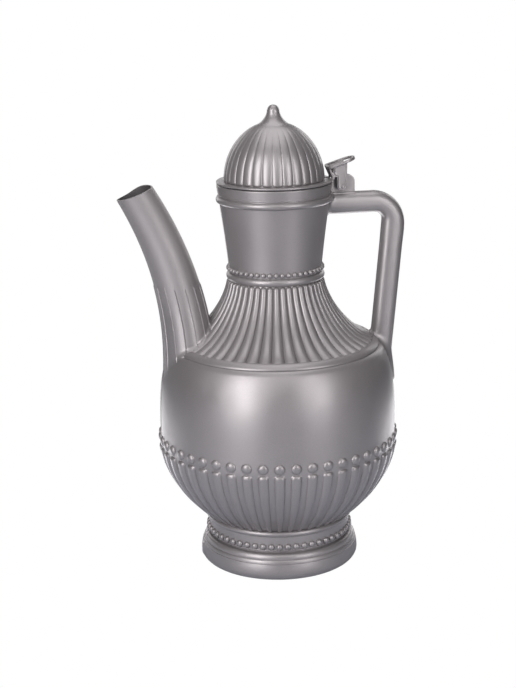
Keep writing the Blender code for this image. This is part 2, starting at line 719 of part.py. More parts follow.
def thumb_lever(group, cutters, hole):
    bm = bmesh.new()
    loop_plate(bm, LEVER_LENGTH, LEVER_WIDTH, -0.5 * LEVER_THICKNESS, 0.5 * LEVER_THICKNESS)
    item = part(bm, "thumb_lever", group, PIVOT)
    bm = bmesh.new()
    loop_plate(bm, LEVER_SLOT_LENGTH, LEVER_SLOT_WIDTH, -LEVER_THICKNESS, LEVER_THICKNESS)
    slot = cutter(bm, "lever_slot", cutters)
    for side, name in ((1.0, "far_cheek"), (-1.0, "near_cheek")):
        bm = bmesh.new()
        plate(bm, cheek_outline(), side * CHEEK_INNER, side * CHEEK_OUTER)
        combine(item, cutter(bm, name, cutters), "UNION")
    combine(item, slot, "DIFFERENCE")
    combine(item, hole, "DIFFERENCE")
    return item


def main():
    clear_scene()
    parts = collection("ewer_jug")
    cutters = collection("cutters")
    vessel = envelope(cutters)
    hole = pin_hole(cutters)
    shell = body_shell(parts)
    tube, bore = spout(parts, cutters, vessel)
    combine(shell, bore, "DIFFERENCE")
    handle(parts, vessel)
    hinge_lug(parts, vessel, hole)
    hinge_pin(parts)
    lid(parts, cutters)
    thumb_lever(parts, cutters, hole)


main()
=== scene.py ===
"""Looks of the ewer jug: its fine mouldings, grey satin plastic, studio light and camera.

The jug's axis is Z, the spout points along -X, the handle along +X, and the photograph was
taken from the -Y side.  Lengths are in metres.  A profile is a row of (radius, height) points.
"""
import json
from math import atan2, cos, pi, radians, sin, tan

import bmesh
import bpy
import numpy as np
from mathutils import Matrix, Vector


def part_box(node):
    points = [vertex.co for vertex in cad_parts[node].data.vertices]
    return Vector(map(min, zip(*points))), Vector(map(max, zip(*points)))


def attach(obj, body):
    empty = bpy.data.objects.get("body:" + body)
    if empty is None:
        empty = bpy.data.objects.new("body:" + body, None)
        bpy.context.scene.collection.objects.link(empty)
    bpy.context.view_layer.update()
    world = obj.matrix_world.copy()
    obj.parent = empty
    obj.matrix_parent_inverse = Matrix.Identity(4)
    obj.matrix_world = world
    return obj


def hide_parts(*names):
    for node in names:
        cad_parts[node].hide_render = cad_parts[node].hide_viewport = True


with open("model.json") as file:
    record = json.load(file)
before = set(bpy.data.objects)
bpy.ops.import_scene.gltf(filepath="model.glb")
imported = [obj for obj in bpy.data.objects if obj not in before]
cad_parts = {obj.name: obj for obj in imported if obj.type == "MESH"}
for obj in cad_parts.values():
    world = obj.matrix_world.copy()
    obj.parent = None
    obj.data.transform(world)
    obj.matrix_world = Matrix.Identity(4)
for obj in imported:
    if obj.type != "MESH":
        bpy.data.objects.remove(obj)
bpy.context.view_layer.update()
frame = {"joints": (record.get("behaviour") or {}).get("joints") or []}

MM = 0.001

# Walls, and the short run that keeps a moulded edge crisp
WALL = 1.8 * MM
LIP_WALL = 1.0 * MM
FLOOR = 2.6 * MM
FLOOR_CENTRE_RADIUS = 10.0 * MM
EDGE_RUN = 0.4 * MM

# Foot and waist
BASE_CENTRE_RADIUS = 6.0 * MM
BASE_RECESS = 0.9 * MM
BASE_RECESS_RADIUS = 43.0 * MM
BASE_RECESS_EDGE = 2.0 * MM
FOOT_FLAT_RADIUS = 52.0 * MM
FOOT_RADIUS = 59.0 * MM
FOOT_EDGE_HEIGHT = 6.0 * MM
FOOT_STEPS = ((58.0 * MM, 13.3 * MM), (56.7 * MM, 16.2 * MM))
FOOT_STEP = 0.45 * MM
FOOT_TOP = 20.4 * MM
FOOT_TOP_RADIUS = 53.6 * MM
GROOVE_RADIUS = 51.6 * MM
GROOVE_TOP = 22.0 * MM
LEDGE_TOP = 22.9 * MM
LEDGE_PROUD = 0.6 * MM
LEDGE_ROUNDING = 0.3 * MM
WAIST_RADIUS = 52.6 * MM
WAIST_TOP = 33.0 * MM
WAIST_RING = 2.2 * MM
FOOT_BEAD = 4.9 * MM
FOOT_BEAD_PROUD = 0.47 * FOOT_BEAD
FOOT_BEAD_LEVEL = 25.2 * MM
FOOT_BEAD_COUNT = 54

# Belly, with tongues up its lower half and a row of beads above them
BELLY_RADIUS = 87.3 * MM
LOWER_BELLY_HEIGHT = 57.6 * MM
LOWER_BELLY_ROUNDNESS = 1.73
UPPER_BELLY_HEIGHT = 72.0 * MM
UPPER_BELLY_ROUNDNESS = 3.66
TONGUE_FOOT_RADIUS = 52.5 * MM
TONGUE_TOP = 92.5 * MM
TONGUE_DEPTH = 1.9 * MM
TONGUE_FOOT_DEPTH = 1.1 * MM
TONGUE_GAP = 3.9 * MM
TONGUE_END = 3.4 * MM
TONGUE_POWER = 3.0
TONGUE_EDGE = 0.7
TONGUE_COUNT = 47
BELLY_BEAD = 8.3 * MM
BELLY_BEAD_PROUD = 2.9 * MM
BELLY_BEAD_LEVEL = 97.0 * MM
BELLY_BEAD_TILT = -0.18
BELLY_BEAD_RADIUS = 86.2 * MM

# All the beads: squareness, depth in the wall by width, angle where the flat top starts
BEAD_POWER = 2.4
BEAD_ROOT = 0.25
BEAD_TOP = 1.45
BEAD_SIDES = 18

# Ribbed shoulder between the ridge and the neck
RIDGE_RADIUS = 75.0 * MM
RIDGE_WIDTH = 4.4 * MM
RIDGE_PROUD = 1.6 * MM
SHOULDER_HEIGHT = 46.8 * MM
SHOULDER_SWEEP = 1.5
RIB_DEPTH = 2.0 * MM
RIB_LOW_END = 4.0 * MM
RIB_TOP_END = 2.0 * MM
RIB_POWER = 2.0
RIB_EDGE = 0.62
RIB_COUNT = 47

# Neck and collar
NECK_RADIUS = 33.4 * MM
NECK_ROOT_RADIUS = 35.5 * MM
NECK_TOP_RADIUS = 39.6 * MM
NECK_HEIGHT = 54.5 * MM
NECK_FLARE = 0.2
NECK_RING = 4.3 * MM
NECK_RING_DROP = 1.2 * MM
NECK_RING_PROUD = 2.3 * MM
NECK_BEAD = 3.9 * MM
NECK_BEAD_RISE = 0.65 * NECK_BEAD
NECK_BEAD_PROUD = 0.6 * NECK_BEAD
NECK_BEAD_TILT = 0.2
NECK_BEAD_COUNT = 47
COLLAR_RADIUS = 41.5 * MM
COLLAR_BORE_RADIUS = 38.6 * MM
COLLAR_TAPER = 1.5 * MM
COLLAR_RING = 5.0 * MM
COLLAR_RING_PROUD = 2.4 * MM
COLLAR_LINE = 0.45 * MM
COLLAR_LINE_TOP = 1.6 * MM
COLLAR_LINE_SPREAD = 0.25 * MM
COLLAR_BAND_EDGE = 0.3 * MM
RIM_ROUNDING = 0.6 * MM
RIM_RAISE = 1.1 * MM

# Lid
LID_GAP = 0.7 * MM
FLANGE_RADIUS = 41.7 * MM
FLANGE_THICKNESS = 1.25 * MM
FLANGE_ROUNDING = 0.5 * MM
PLUG_DEPTH = 8.0 * MM
PLUG_GAP = 1.2 * MM
DOME_RADIUS = 36.3 * MM
DOME_HEIGHT = 39.3 * MM
DOME_CROWN = 2.7 * MM
DOME_RIB_DEPTH = 0.95 * MM
DOME_RIB_END = 1.8 * MM
DOME_RIB_FADE = 0.92
DOME_FADE_POWER = 1.25
DOME_FADE_LENGTH = 6.0 * MM
DOME_RIB_POWER = 2.3
DOME_RIB_EDGE = 0.7
DOME_RIB_COUNT = 30
FINIAL_RADIUS = 4.5 * MM
FINIAL_NECK_HEIGHT = 9.6 * MM
FINIAL_TIP_HEIGHT = 4.6 * MM
FINIAL_EASE = 2.0 * MM
FINIAL_POINT_RADIUS = 0.5 * MM

# Spout
SPOUT_ROOT_INSET = 22.5 * MM
SPOUT_ROOT_DROP = 17.0 * MM
SPOUT_ROOT_TAIL = 18.0 * MM
SPOUT_TAIL_SPLAY = 2.2 * MM
SPOUT_MOUTH_REACH = 13.1 * MM
SPOUT_MOUTH_RISE = 113.7 * MM
SPOUT_LEAN = radians(30.0)
SPOUT_WAY = np.array((-sin(SPOUT_LEAN), 0.0, cos(SPOUT_LEAN)))
SPOUT_MOUTH_TILT = radians(19.5)
SPOUT_ROOT_PULL = 45.0 * MM
SPOUT_MOUTH_PULL = 50.0 * MM
SPOUT_ROOT_HALF_DEPTH = 19.2 * MM
SPOUT_ROOT_HALF_WIDTH = 25.0 * MM
SPOUT_MOUTH_HALF = 13.6 * MM
SPOUT_LIP_WAVE = 3.0 * MM
SPOUT_LIP_ROUNDING = 0.3 * MM
SPOUT_LIP_RISE = 0.25 * MM
SPOUT_TAPER = 1.2
SPOUT_RIDGES = 14
SPOUT_RIDGE_HEIGHT = 0.48 * MM
SPOUT_RIDGE_SHARE = 0.11
SPOUT_RIDGE_TOP = 214.5 * MM
SPOUT_RIDGE_END = 2.0 * MM
SPOUT_PLACES = (-1.0, -0.65, -0.35, -0.17, -0.11, -0.06, 0.0, 0.06, 0.11, 0.17, 0.35, 0.65)
SPOUT_FILLET = 2.0 * MM
BORE_SIDES = 112
BORE_START = 0.045
BORE_OVERRUN = 6.0 * MM

# Handle
ARM_DROP = 16.7 * MM
ARM_HALF_HEIGHT = 7.8 * MM
HANDLE_HALF_WIDTH = 7.5 * MM
HANDLE_OVERHANG = 8.7 * MM
HANDLE_OUTER_CORNER = 24.5 * MM
HANDLE_INNER_CORNER = 5.0 * MM
LIMB_HALF_DEPTH = 8.2 * MM
LIMB_LEAN = radians(5.5)
LIMB_KNEE_DROP = 9.0 * MM
LIMB_ROOT_DROP = 35.5 * MM
LIMB_ROOT_SPLAY = 7.2 * MM
LIMB_ROOT_HALF_DEPTH = 4.0 * MM
LIMB_ROOT_HALF_WIDTH = 4.0 * MM
HANDLE_SQUARENESS = 2.6
HANDLE_FILLET = 2.5 * MM
HANDLE_SINK = 5.0 * MM
HANDLE_SEAM = np.array((-0.09, -0.045, 0.0, 0.045, 0.09))
HANDLE_FLANK = 0.2
HANDLE_TIP = ((0.85, 0.9 * MM), (0.55, 1.5 * MM))

# Hinge
LUG_THICKNESS = 5.0 * MM
LUG_REACH = 9.5 * MM
LUG_RISE = 8.4 * MM
LUG_CORNER = 5.0 * MM
LUG_RIM_HALF = 4.5 * MM
LUG_SINK = 4.0 * MM
LUG_POST = 1.3 * MM
RUNNING_GAP = 0.4 * MM
CHEEK_INNER = 4.6 * MM
CHEEK_THICKNESS = 1.8 * MM
CHEEK_END_RADIUS = 3.7 * MM
CHEEK_LEFT = -7.0 * MM
CHEEK_RIGHT = 3.9 * MM
CHEEK_END = (-0.8 * MM, 1.1 * MM)
CHEEK_STEP = 7.6 * MM
CHEEK_BEND = 0.8 * MM
CHEEK_BORDER = 0.5 * MM
CHEEK_SLOPE = 0.9 * MM
CHEEK_SUNK = 0.8 * MM
CUT_OVERLAP = 0.02 * MM
LEVER_RISE = 17.3 * MM
LEVER_SHIFT = -0.5 * MM
LEVER_LENGTH = 22.0 * MM
LEVER_WIDTH = 15.6 * MM
LEVER_RIM = 1.9 * MM
LEVER_CORNER = 2.4 * MM
LEVER_THICKNESS = 1.9 * MM
LEVER_TILT = radians(17.5)
SLOT_OVERCUT = 1.05
STRUT_WIDTH = 1.7 * MM
STRUT_TOE = 1.6 * MM
STRUT_HEEL = 0.4 * MM
STRUT_ANKLE = 0.6 * MM
STRUT_ROOT = 0.7 * FLANGE_THICKNESS
PIN_RADIUS = 1.9 * MM
PIN_HEAD_RADIUS = 1.6 * MM
PIN_HEAD_HEIGHT = 0.8 * MM
PIN_TIP_RADIUS = 0.3 * MM
PIN_SHOULDER_SINK = 0.3 * MM

# Parting line of the blow mould, on the meridians of the spout and the handle
SEAM_HALF_WIDTH = 0.55 * MM
SEAM_PROUD = 0.4 * MM

# Fineness of the meshes
PLAIN_SIDES = 144
INNER_SIDES = 96
PIN_SIDES = 32
SOFT_VOXEL = 0.24 * MM
SOFT_FACTOR = 0.5
SOFT_PASSES = 7
SOFT_KEPT = 0.3
CREASE = radians(40.0)

# Plastic: one grey, duller on the spout, and a darker grey painted as shade inside its mouth
GREY = (0.266, 0.246, 0.252)
# Painted shade inside the spout's mouth
BORE_SHADE_GREY = (0.105, 0.097, 0.099)
METAL_FLAKE = 0.6
JUG_ROUGHNESS = 0.41
LID_ROUGHNESS = 0.38
BORE_ROUGHNESS = 0.5
SPOUT_MATTE = 0.13
SPOUT_MATTE_X = (-55.0 * MM, -75.0 * MM)
SPOUT_MATTE_Z = (190.0 * MM, 205.0 * MM)
# Where the painted shade goes: faces inside the spout, near its mouth, that look towards its axis
BORE_EDGE = -60.0 * MM
BORE_BOTTOM = 215.0 * MM
BORE_AXIS_START = 0.3
BORE_FACING = -0.5

# Noises in the plastic: scale, detail, and the least and the greatest value
NOISE_REACH = (0.3, 0.7)
FLAKE = (2600.0, 2.0, 0.93, 1.07)
CLOUD = (22.0, 3.0, 0.965, 1.035)
GLOSS = (60.0, 4.0, -0.03, 0.04)
GRAIN = (900.0, 3.0)
GRAIN_STRENGTH = 0.35
GRAIN_DEPTH = 0.05 * MM

# Camera at the photograph's angle
CAMERA_TURN = radians(9.5)
CAMERA_PLACE = Vector((-13.6, -1063.5, 450.4)) * MM
CAMERA_DIP = radians(15.05)
CAMERA_ROLL = radians(1.01)
CAMERA_LENS = 78.12
CAMERA_SENSOR = 36.0

# Light, and the table in the jug's reflections, with painted shade that makes it darker with distance
LAMP_TARGET = Vector((0.0, 0.0, 160.0)) * MM
LAMP_DISTANCE = 1.1
GLOW_LEVEL = 3.0 * MM
ROOM_LIGHT = 0.06
TABLE_HALF = 3.0
TABLE_TINT = (0.52, 0.55, 0.62)
TABLE_NEAR = 0.3
TABLE_FAR = 0.7
TABLE_FAR_SHARE = 0.3
WHITE = (1.0, 1.0, 1.0, 1.0)

# Heights that follow
TONGUE_BOTTOM = WAIST_TOP + 2.0 * WAIST_RING
BELLY_LEVEL = TONGUE_BOTTOM + LOWER_BELLY_HEIGHT
RIDGE_LEVEL = BELLY_LEVEL + UPPER_BELLY_HEIGHT
RIDGE_FOOT = RIDGE_LEVEL - 0.5 * RIDGE_WIDTH
SHOULDER_LEVEL = RIDGE_LEVEL + 0.5 * RIDGE_WIDTH
NECK_LEVEL = SHOULDER_LEVEL + SHOULDER_HEIGHT
COLLAR_LEVEL = NECK_LEVEL + NECK_HEIGHT
RIM_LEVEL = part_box("body_shell")[1].z + RIM_RAISE
FLANGE_LEVEL = RIM_LEVEL + LID_GAP
DOME_LEVEL = FLANGE_LEVEL + FLANGE_THICKNESS
ARM_LEVEL = RIM_LEVEL - ARM_DROP
HANDLE_REACH = BELLY_RADIUS + HANDLE_OVERHANG
PIVOT = Vector(frame["joints"][0]["pos_m"])
CHEEK_OUTER = CHEEK_INNER + CHEEK_THICKNESS


def placed(name, data):
    item = bpy.data.objects.new(name, data)
    bpy.context.scene.collection.objects.link(item)
    return item


def mesh_object(name, verts, faces):
    mesh = bpy.data.meshes.new(name)
    mesh.from_pydata([tuple(vert) for vert in verts], [], faces)
    bm = bmesh.new()
    bm.from_mesh(mesh)
    bmesh.ops.recalc_face_normals(bm, faces=bm.faces)
    bm.to_mesh(mesh)
    bm.free()
    return placed(name, mesh)


def applied(item):
    """Replace the mesh of an object by what its modifiers make of it."""
    graph = bpy.context.evaluated_depsgraph_get()
    mesh = bpy.data.meshes.new_from_object(item.evaluated_get(graph))
    item.modifiers.clear()
    item.data = mesh
    return item


def combine(item, tool, operation):
    """Join or cut two closed meshes; the tool is used up."""
    step = item.modifiers.new("combine", "BOOLEAN")
    step.operation = operation
    step.solver = "MANIFOLD"
    step.object = tool
    applied(item)
    bpy.data.objects.remove(tool, do_unlink=True)
    return item


def softened(item):
    """Turn sharp moulded edges round, by a fine remesh and smoothing."""
    remesh = item.modifiers.new("remesh", "REMESH")
    remesh.mode = "VOXEL"
    remesh.voxel_size = SOFT_VOXEL
    smooth = item.modifiers.new("smooth", "SMOOTH")
    smooth.factor = SOFT_FACTOR
    smooth.iterations = SOFT_PASSES
    thin = item.modifiers.new("thin", "DECIMATE")
    thin.ratio = SOFT_KEPT
    return applied(item)


def arc_lengths(points):
    steps = np.hypot(*np.diff(points, axis=0).T)
    return np.concatenate(([0.0], np.cumsum(steps)))


def resampled(points, spots):
    """Points of a profile at the given lengths along it."""
    points = np.asarray(points)
    along = arc_lengths(points)
    return np.stack([np.interp(spots, along, points[:, axis]) for axis in (0, 1)], axis=1)


def profile_normals(points):
    """Unit normals of a profile, to the right of its direction of travel."""
    ahead = np.gradient(np.asarray(points), axis=0)
    length = np.hypot(ahead[:, 0], ahead[:, 1])
    return np.stack((ahead[:, 1], -ahead[:, 0]), axis=1) / length[:, None]


def offset(points, distance):
    return np.asarray(points) + distance * profile_normals(points)


def zone(points, count=PLAIN_SIDES, across=(-1.0,), relief=None):
    """Rings of vertices round Z for each point of a profile.

    A ring has count pitches, the first with its crest on +X, and across holds the places in one
    pitch, from -1 in the valley through 0 on the crest, once for all or once for each point.
    relief(across, along) lifts the points off the profile.
    """
    points = np.asarray(points, float)
    across = np.tile(np.broadcast_to(across, (len(points), np.shape(across)[-1])), count)
    pitch = np.repeat(np.arange(count), across.shape[1] // count)
    turn = 2.0 * pi * (pitch + 0.5 * across) / count
    height = np.zeros(across.shape)
    if relief:
        height = relief(across, arc_lengths(points)[:, None])
    normals = profile_normals(points)
    radius = points[:, 0, None] + normals[:, 0, None] * height
    level = points[:, 1, None] + normals[:, 1, None] * height
    return list(np.stack((radius * np.cos(turn), radius * np.sin(turn), level), axis=2))


def zip_rings(low, high, low_start, high_start):
    """Triangles between two rings of unlike counts, matched by their angles."""
    turns = []
    for ring in (low, high):
        turn = np.unwrap(np.arctan2(ring[:, 1], ring[:, 0]))
        turns.append(np.append(turn, (turn[0] + 2.0 * pi, np.inf)))
    faces = []
    a = b = 0
    while a < len(low) or b < len(high):
        here_a = low_start + a % len(low)
        here_b = high_start + b % len(high)
        if turns[0][a + 1] <= turns[1][b + 1]:
            a += 1
            faces.append((here_a, low_start + a % len(low), here_b))
        else:
            b += 1
            faces.append((here_a, high_start + b % len(high), here_b))
    return faces


def lofted(name, rings):
    """Closed mesh through a run of rings, with a flat cap at each end."""
    starts = np.concatenate(([0], np.cumsum([len(ring) for ring in rings])))
    faces = [tuple(range(len(rings[0])))[::-1], tuple(range(starts[-2], starts[-1]))]
    for index, (low, high) in enumerate(zip(rings, rings[1:])):
        if len(low) != len(high):
            faces += zip_rings(low, high, starts[index], starts[index + 1])
            continue
        here = np.arange(len(low))
        after = np.roll(here, -1)
        quads = np.stack((here + starts[index], after + starts[index],
                          after + starts[index + 1], here + starts[index + 1]), axis=1)
        faces += quads.tolist()
    return mesh_object(name, np.concatenate(rings), faces)


def quarter(start, end, steps, level_start):
    """Quarter of an ellipse between two profile points, leaving level or upright."""
    turn = 0.5 * pi * np.arange(steps + 1) / steps
    along, rest = np.sin(turn), 1.0 - np.cos(turn)
    if not level_start:
        along, rest = rest, along
    return [(start[0] + (end[0] - start[0]) * a, start[1] + (end[1] - start[1]) * b)
            for a, b in zip(along, rest)]


def half_round(low, high, proud, steps=8):
    """Half-round ring on the chord between two profile points."""
    turn = pi * np.arange(steps + 1) / steps
    share = 0.5 - 0.5 * np.cos(turn)
    return [(low[0] + (high[0] - low[0]) * part + proud * sin(angle), low[1] + (high[1] - low[1]) * part)
            for part, angle in zip(share, turn)]


def belly_radius(height):
    """Radius of the plain belly, a superellipse that is fullest at BELLY_LEVEL."""
    if height < BELLY_LEVEL:
        end_radius = TONGUE_FOOT_RADIUS
        share = (BELLY_LEVEL - height) / LOWER_BELLY_HEIGHT
        power = LOWER_BELLY_ROUNDNESS
    else:
        end_radius = RIDGE_RADIUS
        share = (height - BELLY_LEVEL) / UPPER_BELLY_HEIGHT
        power = UPPER_BELLY_ROUNDNESS
    loss = 1.0 - (end_radius / BELLY_RADIUS) ** power
    return BELLY_RADIUS * (1.0 - loss * share ** power) ** (1.0 / power)


def belly_points(low, high, steps):
    heights = [low + (high - low) * step / steps for step in range(steps + 1)]
    return [(belly_radius(height), height) for height in heights]


def sweep(start, end, steps):
    """Hollow sweep that leaves level at its foot and ends upright, as a superellipse."""
    power = 2.0 / SHOULDER_SWEEP
    turn = 0.5 * pi * np.arange(steps + 1) / steps
    return [(start[0] + (end[0] - start[0]) * sin(angle) ** power,
             end[1] + (start[1] - end[1]) * max(cos(angle), 0.0) ** power) for angle in turn]


def neck_points(steps):
    """The neck opens upwards from above its beads to the collar ring."""
    low = NECK_LEVEL + NECK_RING
    share = np.arange(steps + 1) / steps
    swell = (1.0 - NECK_FLARE) * share + NECK_FLARE * share ** 2
    return [(NECK_RADIUS + (NECK_TOP_RADIUS - NECK_RADIUS) * grown, low + (COLLAR_LEVEL - low) * part)
            for grown, part in zip(swell, share)]


def lobe(across, along, length, low_end, high_end, power, edge):
    """Height from 0 to 1 of a rounded rib with round ends, low_end and high_end long."""
    below = np.clip((low_end - along) / low_end, 0.0, 1.0)
    above = np.clip((along - length + high_end) / high_end, 0.0, 1.0)
    reach = np.abs(across) ** power + (below + above) ** power
    return np.clip(1.0 - reach, 0.0, 1.0) ** edge


def end_rows(length, low_end, high_end, middle):
    """Places along a rib, close together over its round ends."""
    low = low_end * (1.0 - np.cos(np.linspace(0.0, 0.5 * pi, 8)))
    high = length - high_end * (1.0 - np.sin(np.linspace(0.0, 0.5 * pi, 8)))
    return np.concatenate((low, np.linspace(low_end, length - high_end, middle + 1)[1:-1], high))


def foot_points():
    """Profile of the foot, from the middle of the base to the ledge under the waist."""
    points = [(BASE_CENTRE_RADIUS, BASE_RECESS), (BASE_RECESS_RADIUS - BASE_RECESS_EDGE, BASE_RECESS)]
    points += quarter((BASE_RECESS_RADIUS, BASE_RECESS), (BASE_RECESS_RADIUS + BASE_RECESS_EDGE, 0.0),
                      3, True)
    edge = (FOOT_RADIUS, FOOT_EDGE_HEIGHT)
    points += quarter((FOOT_FLAT_RADIUS, 0.0), edge, 8, True)
    low = edge
    for radius, level in FOOT_STEPS:
        for share in (0.35, 0.7, 1.0):
            points.append((low[0] + (radius - low[0]) * share ** 2, low[1] + (level - low[1]) * share))
        low = (radius - FOOT_STEP, level + 0.5 * FOOT_STEP)
        points.append(low)
    points += quarter((low[0], low[1] + EDGE_RUN), (FOOT_TOP_RADIUS, FOOT_TOP), 8, False)
    points += [(GROOVE_RADIUS + EDGE_RUN, FOOT_TOP + 0.25 * EDGE_RUN),
               (GROOVE_RADIUS, FOOT_TOP + 1.25 * EDGE_RUN),
               (GROOVE_RADIUS, GROOVE_TOP - EDGE_RUN), (GROOVE_RADIUS + EDGE_RUN, GROOVE_TOP)]
    edge = WAIST_RADIUS + LEDGE_PROUD
    points += quarter((edge - LEDGE_ROUNDING, GROOVE_TOP), (edge, GROOVE_TOP + LEDGE_ROUNDING), 3, True)
    points += quarter((edge, LEDGE_TOP - LEDGE_ROUNDING), (WAIST_RADIUS, LEDGE_TOP), 3, False)
    return points


def tongue_zone():
    """Lower belly with its tongues and the plain gaps between them."""
    profile = belly_points(TONGUE_BOTTOM, TONGUE_TOP, 80)
    length = arc_lengths(profile)[-1]
    rows = end_rows(length, TONGUE_END, TONGUE_END, 18)
    points = resampled(profile, rows)
    share = 1.0 - TONGUE_GAP * TONGUE_COUNT / (2.0 * pi * points[:, 0, None])
    places = np.concatenate(([-1.0], np.sin(0.5 * pi * np.linspace(-1.0, 1.0, 13))))
    across = places * share
    across[:, 0] = -1.0

    def relief(place, along):
        shape = lobe(np.clip(place / np.tile(share, (1, place.shape[1])), -1.0, 1.0), along, length,
                     TONGUE_END, TONGUE_END, TONGUE_POWER, TONGUE_EDGE)
        return shape * (TONGUE_FOOT_DEPTH + (TONGUE_DEPTH - TONGUE_FOOT_DEPTH) * along / length)

    return zone(points, TONGUE_COUNT, across, relief)


def shoulder_crest():
    """Crest of the shoulder's ribs, from the ridge up to the neck ring."""
    start = (RIDGE_RADIUS - 0.5 * RIDGE_WIDTH, SHOULDER_LEVEL)
    return sweep(start, (NECK_ROOT_RADIUS, NECK_LEVEL - NECK_RING_DROP), 90)


def shoulder_zone():
    """Shoulder with its ribs, whose crests lie on the sweep."""
    profile = shoulder_crest()
    length = arc_lengths(profile)[-1]
    rows = end_rows(length, RIB_LOW_END, RIB_TOP_END, 22)

    def relief(place, along):
        return RIB_DEPTH * (lobe(place, along, length, RIB_LOW_END, RIB_TOP_END, RIB_POWER, RIB_EDGE) - 1.0)

    return zone(resampled(profile, rows), RIB_COUNT, rib_places(6), relief)


def rib_places(half):
    """Places across a rib that crowd towards its valley."""
    return -np.cos(np.linspace(0.0, 1.0, 2 * half, endpoint=False) * pi)


def outer_rings():
    """Outside of the vessel as a full solid, from its base up to the rim."""
    waist_ring = half_round((WAIST_RADIUS, WAIST_TOP), (TONGUE_FOOT_RADIUS, TONGUE_BOTTOM), WAIST_RING)
    ridge = half_round((RIDGE_RADIUS, RIDGE_FOOT),
                       (RIDGE_RADIUS - 0.5 * RIDGE_WIDTH - RIB_DEPTH, SHOULDER_LEVEL), RIDGE_PROUD)
    neck_ring = half_round((NECK_ROOT_RADIUS - RIB_DEPTH, NECK_LEVEL - NECK_RING_DROP),
                           (NECK_RADIUS, NECK_LEVEL + NECK_RING), NECK_RING_PROUD)
    ring_top = (COLLAR_RADIUS - COLLAR_TAPER, COLLAR_LEVEL + COLLAR_RING)
    collar_ring = half_round((NECK_TOP_RADIUS, COLLAR_LEVEL), ring_top, COLLAR_RING_PROUD)
    line_top = (ring_top[0] + COLLAR_LINE_SPREAD, ring_top[1] + COLLAR_LINE_TOP)
    collar_line = half_round((ring_top[0], ring_top[1] + EDGE_RUN), line_top, COLLAR_LINE, 4)
    rim = quarter((COLLAR_RADIUS, RIM_LEVEL - RIM_ROUNDING), (COLLAR_RADIUS - RIM_ROUNDING, RIM_LEVEL),
                  3, False)
    rings = zone(foot_points())
    rings += zone([(WAIST_RADIUS, LEDGE_TOP + EDGE_RUN)] + waist_ring[:-1])
    rings += tongue_zone()
    rings += zone(belly_points(TONGUE_TOP, RIDGE_FOOT - MM, 26)[1:] + ridge)
    rings += shoulder_zone()
    rings += zone(neck_ring + neck_points(10)[1:-1])
    band = [(line_top[0], line_top[1] + COLLAR_BAND_EDGE), (COLLAR_RADIUS, rim[0][1] - COLLAR_BAND_EDGE)]
    rings += zone(collar_ring + collar_line + band + rim)
    return rings


def inner_rings():
    """Hollow of the vessel, from above its rim down to its floor."""
    edge = COLLAR_BORE_RADIUS + RIM_ROUNDING
    collar = [(edge, RIM_LEVEL + MM)]
    collar += quarter((edge, RIM_LEVEL), (COLLAR_BORE_RADIUS, RIM_LEVEL - RIM_ROUNDING), 3, True)
    collar += [(COLLAR_BORE_RADIUS, COLLAR_LEVEL + 0.5 * COLLAR_RING)]
    neck = offset(neck_points(8), -WALL).tolist()[::-1]
    ribs = offset(shoulder_crest()[6:-6:6], -WALL - RIB_DEPTH).tolist()[::-1]
    belly = belly_points(TONGUE_BOTTOM, RIDGE_FOOT, 24)[:-1] + [(RIDGE_RADIUS, RIDGE_FOOT)]
    belly = offset(belly, -WALL).tolist()[::-1]
    waist = [(GROOVE_RADIUS - WALL, WAIST_TOP), (GROOVE_RADIUS - WALL, FOOT_TOP - WALL)]
    foot = [(FOOT_RADIUS - 2.5 * WALL, FOOT_TOP - 3.5 * WALL), (FOOT_RADIUS - WALL, FOOT_EDGE_HEIGHT + WALL)]
    base = [(FOOT_FLAT_RADIUS, FLOOR), (FLOOR_CENTRE_RADIUS, FLOOR)]
    return zone(collar + neck + ribs + belly + waist + foot + base, INNER_SIDES)


def envelope():
    """Profile of the vessel without its ribs, from the base to the rim."""
    points = foot_points()[5:] + [(WAIST_RADIUS, WAIST_TOP)]
    points += belly_points(TONGUE_BOTTOM, RIDGE_FOOT, 80) + shoulder_crest()
    points += [(NECK_ROOT_RADIUS, NECK_LEVEL + NECK_RING)] + neck_points(20)
    points += [(COLLAR_RADIUS, COLLAR_LEVEL + MM), (COLLAR_RADIUS, RIM_LEVEL)]
    return np.array(points)


ENVELOPE = envelope()


def vessel_distance(points):
    """Distance of points from the vessel's envelope, negative inside, and the way out there."""
    points = np.asarray(points)
    radius = np.hypot(points[:, 0], points[:, 1])
    spots = np.stack((radius, points[:, 2]), axis=1)[:, None, :]
    start = ENVELOPE[None, :-1]
    run = ENVELOPE[None, 1:] - start
    share = np.clip(((spots - start) * run).sum(2) / (run ** 2).sum(2), 0.0, 1.0)
    gap = spots - start - run * share[:, :, None]
    length = np.hypot(gap[:, :, 0], gap[:, :, 1])
    nearest = length.argmin(1)
    inside = radius < np.interp(points[:, 2], ENVELOPE[:, 1], ENVELOPE[:, 0])
    distance = length.min(1) * np.where(inside, -1.0, 1.0)
    side = run[0, nearest]
    side = np.stack((side[:, 1], -side[:, 0]), axis=1) / np.hypot(side[:, 0], side[:, 1])[:, None]
    flat = points[:, :2] / radius[:, None] * side[:, :1]
    return distance, np.concatenate((flat, side[:, 1:]), axis=1)


def directions(ring, centre):
    """Unit vectors from a ring's centre to its points."""
    away = ring - centre
    return away / np.linalg.norm(away, axis=1)[:, None]


def flared(rings, centres, fillet):
    """Spread the rings of a tube where they near the vessel, as a fillet does."""
    moved = []
    for ring, centre in zip(rings, centres):
        away = directions(ring, centre)
        distance, out = vessel_distance(ring)
        along = away - out * (away * out).sum(1)[:, None]
        rise = np.clip(distance, 0.0, fillet)
        widening = fillet - np.sqrt(fillet ** 2 - (fillet - rise) ** 2)
        moved.append(ring + along * widening[:, None])
    return moved


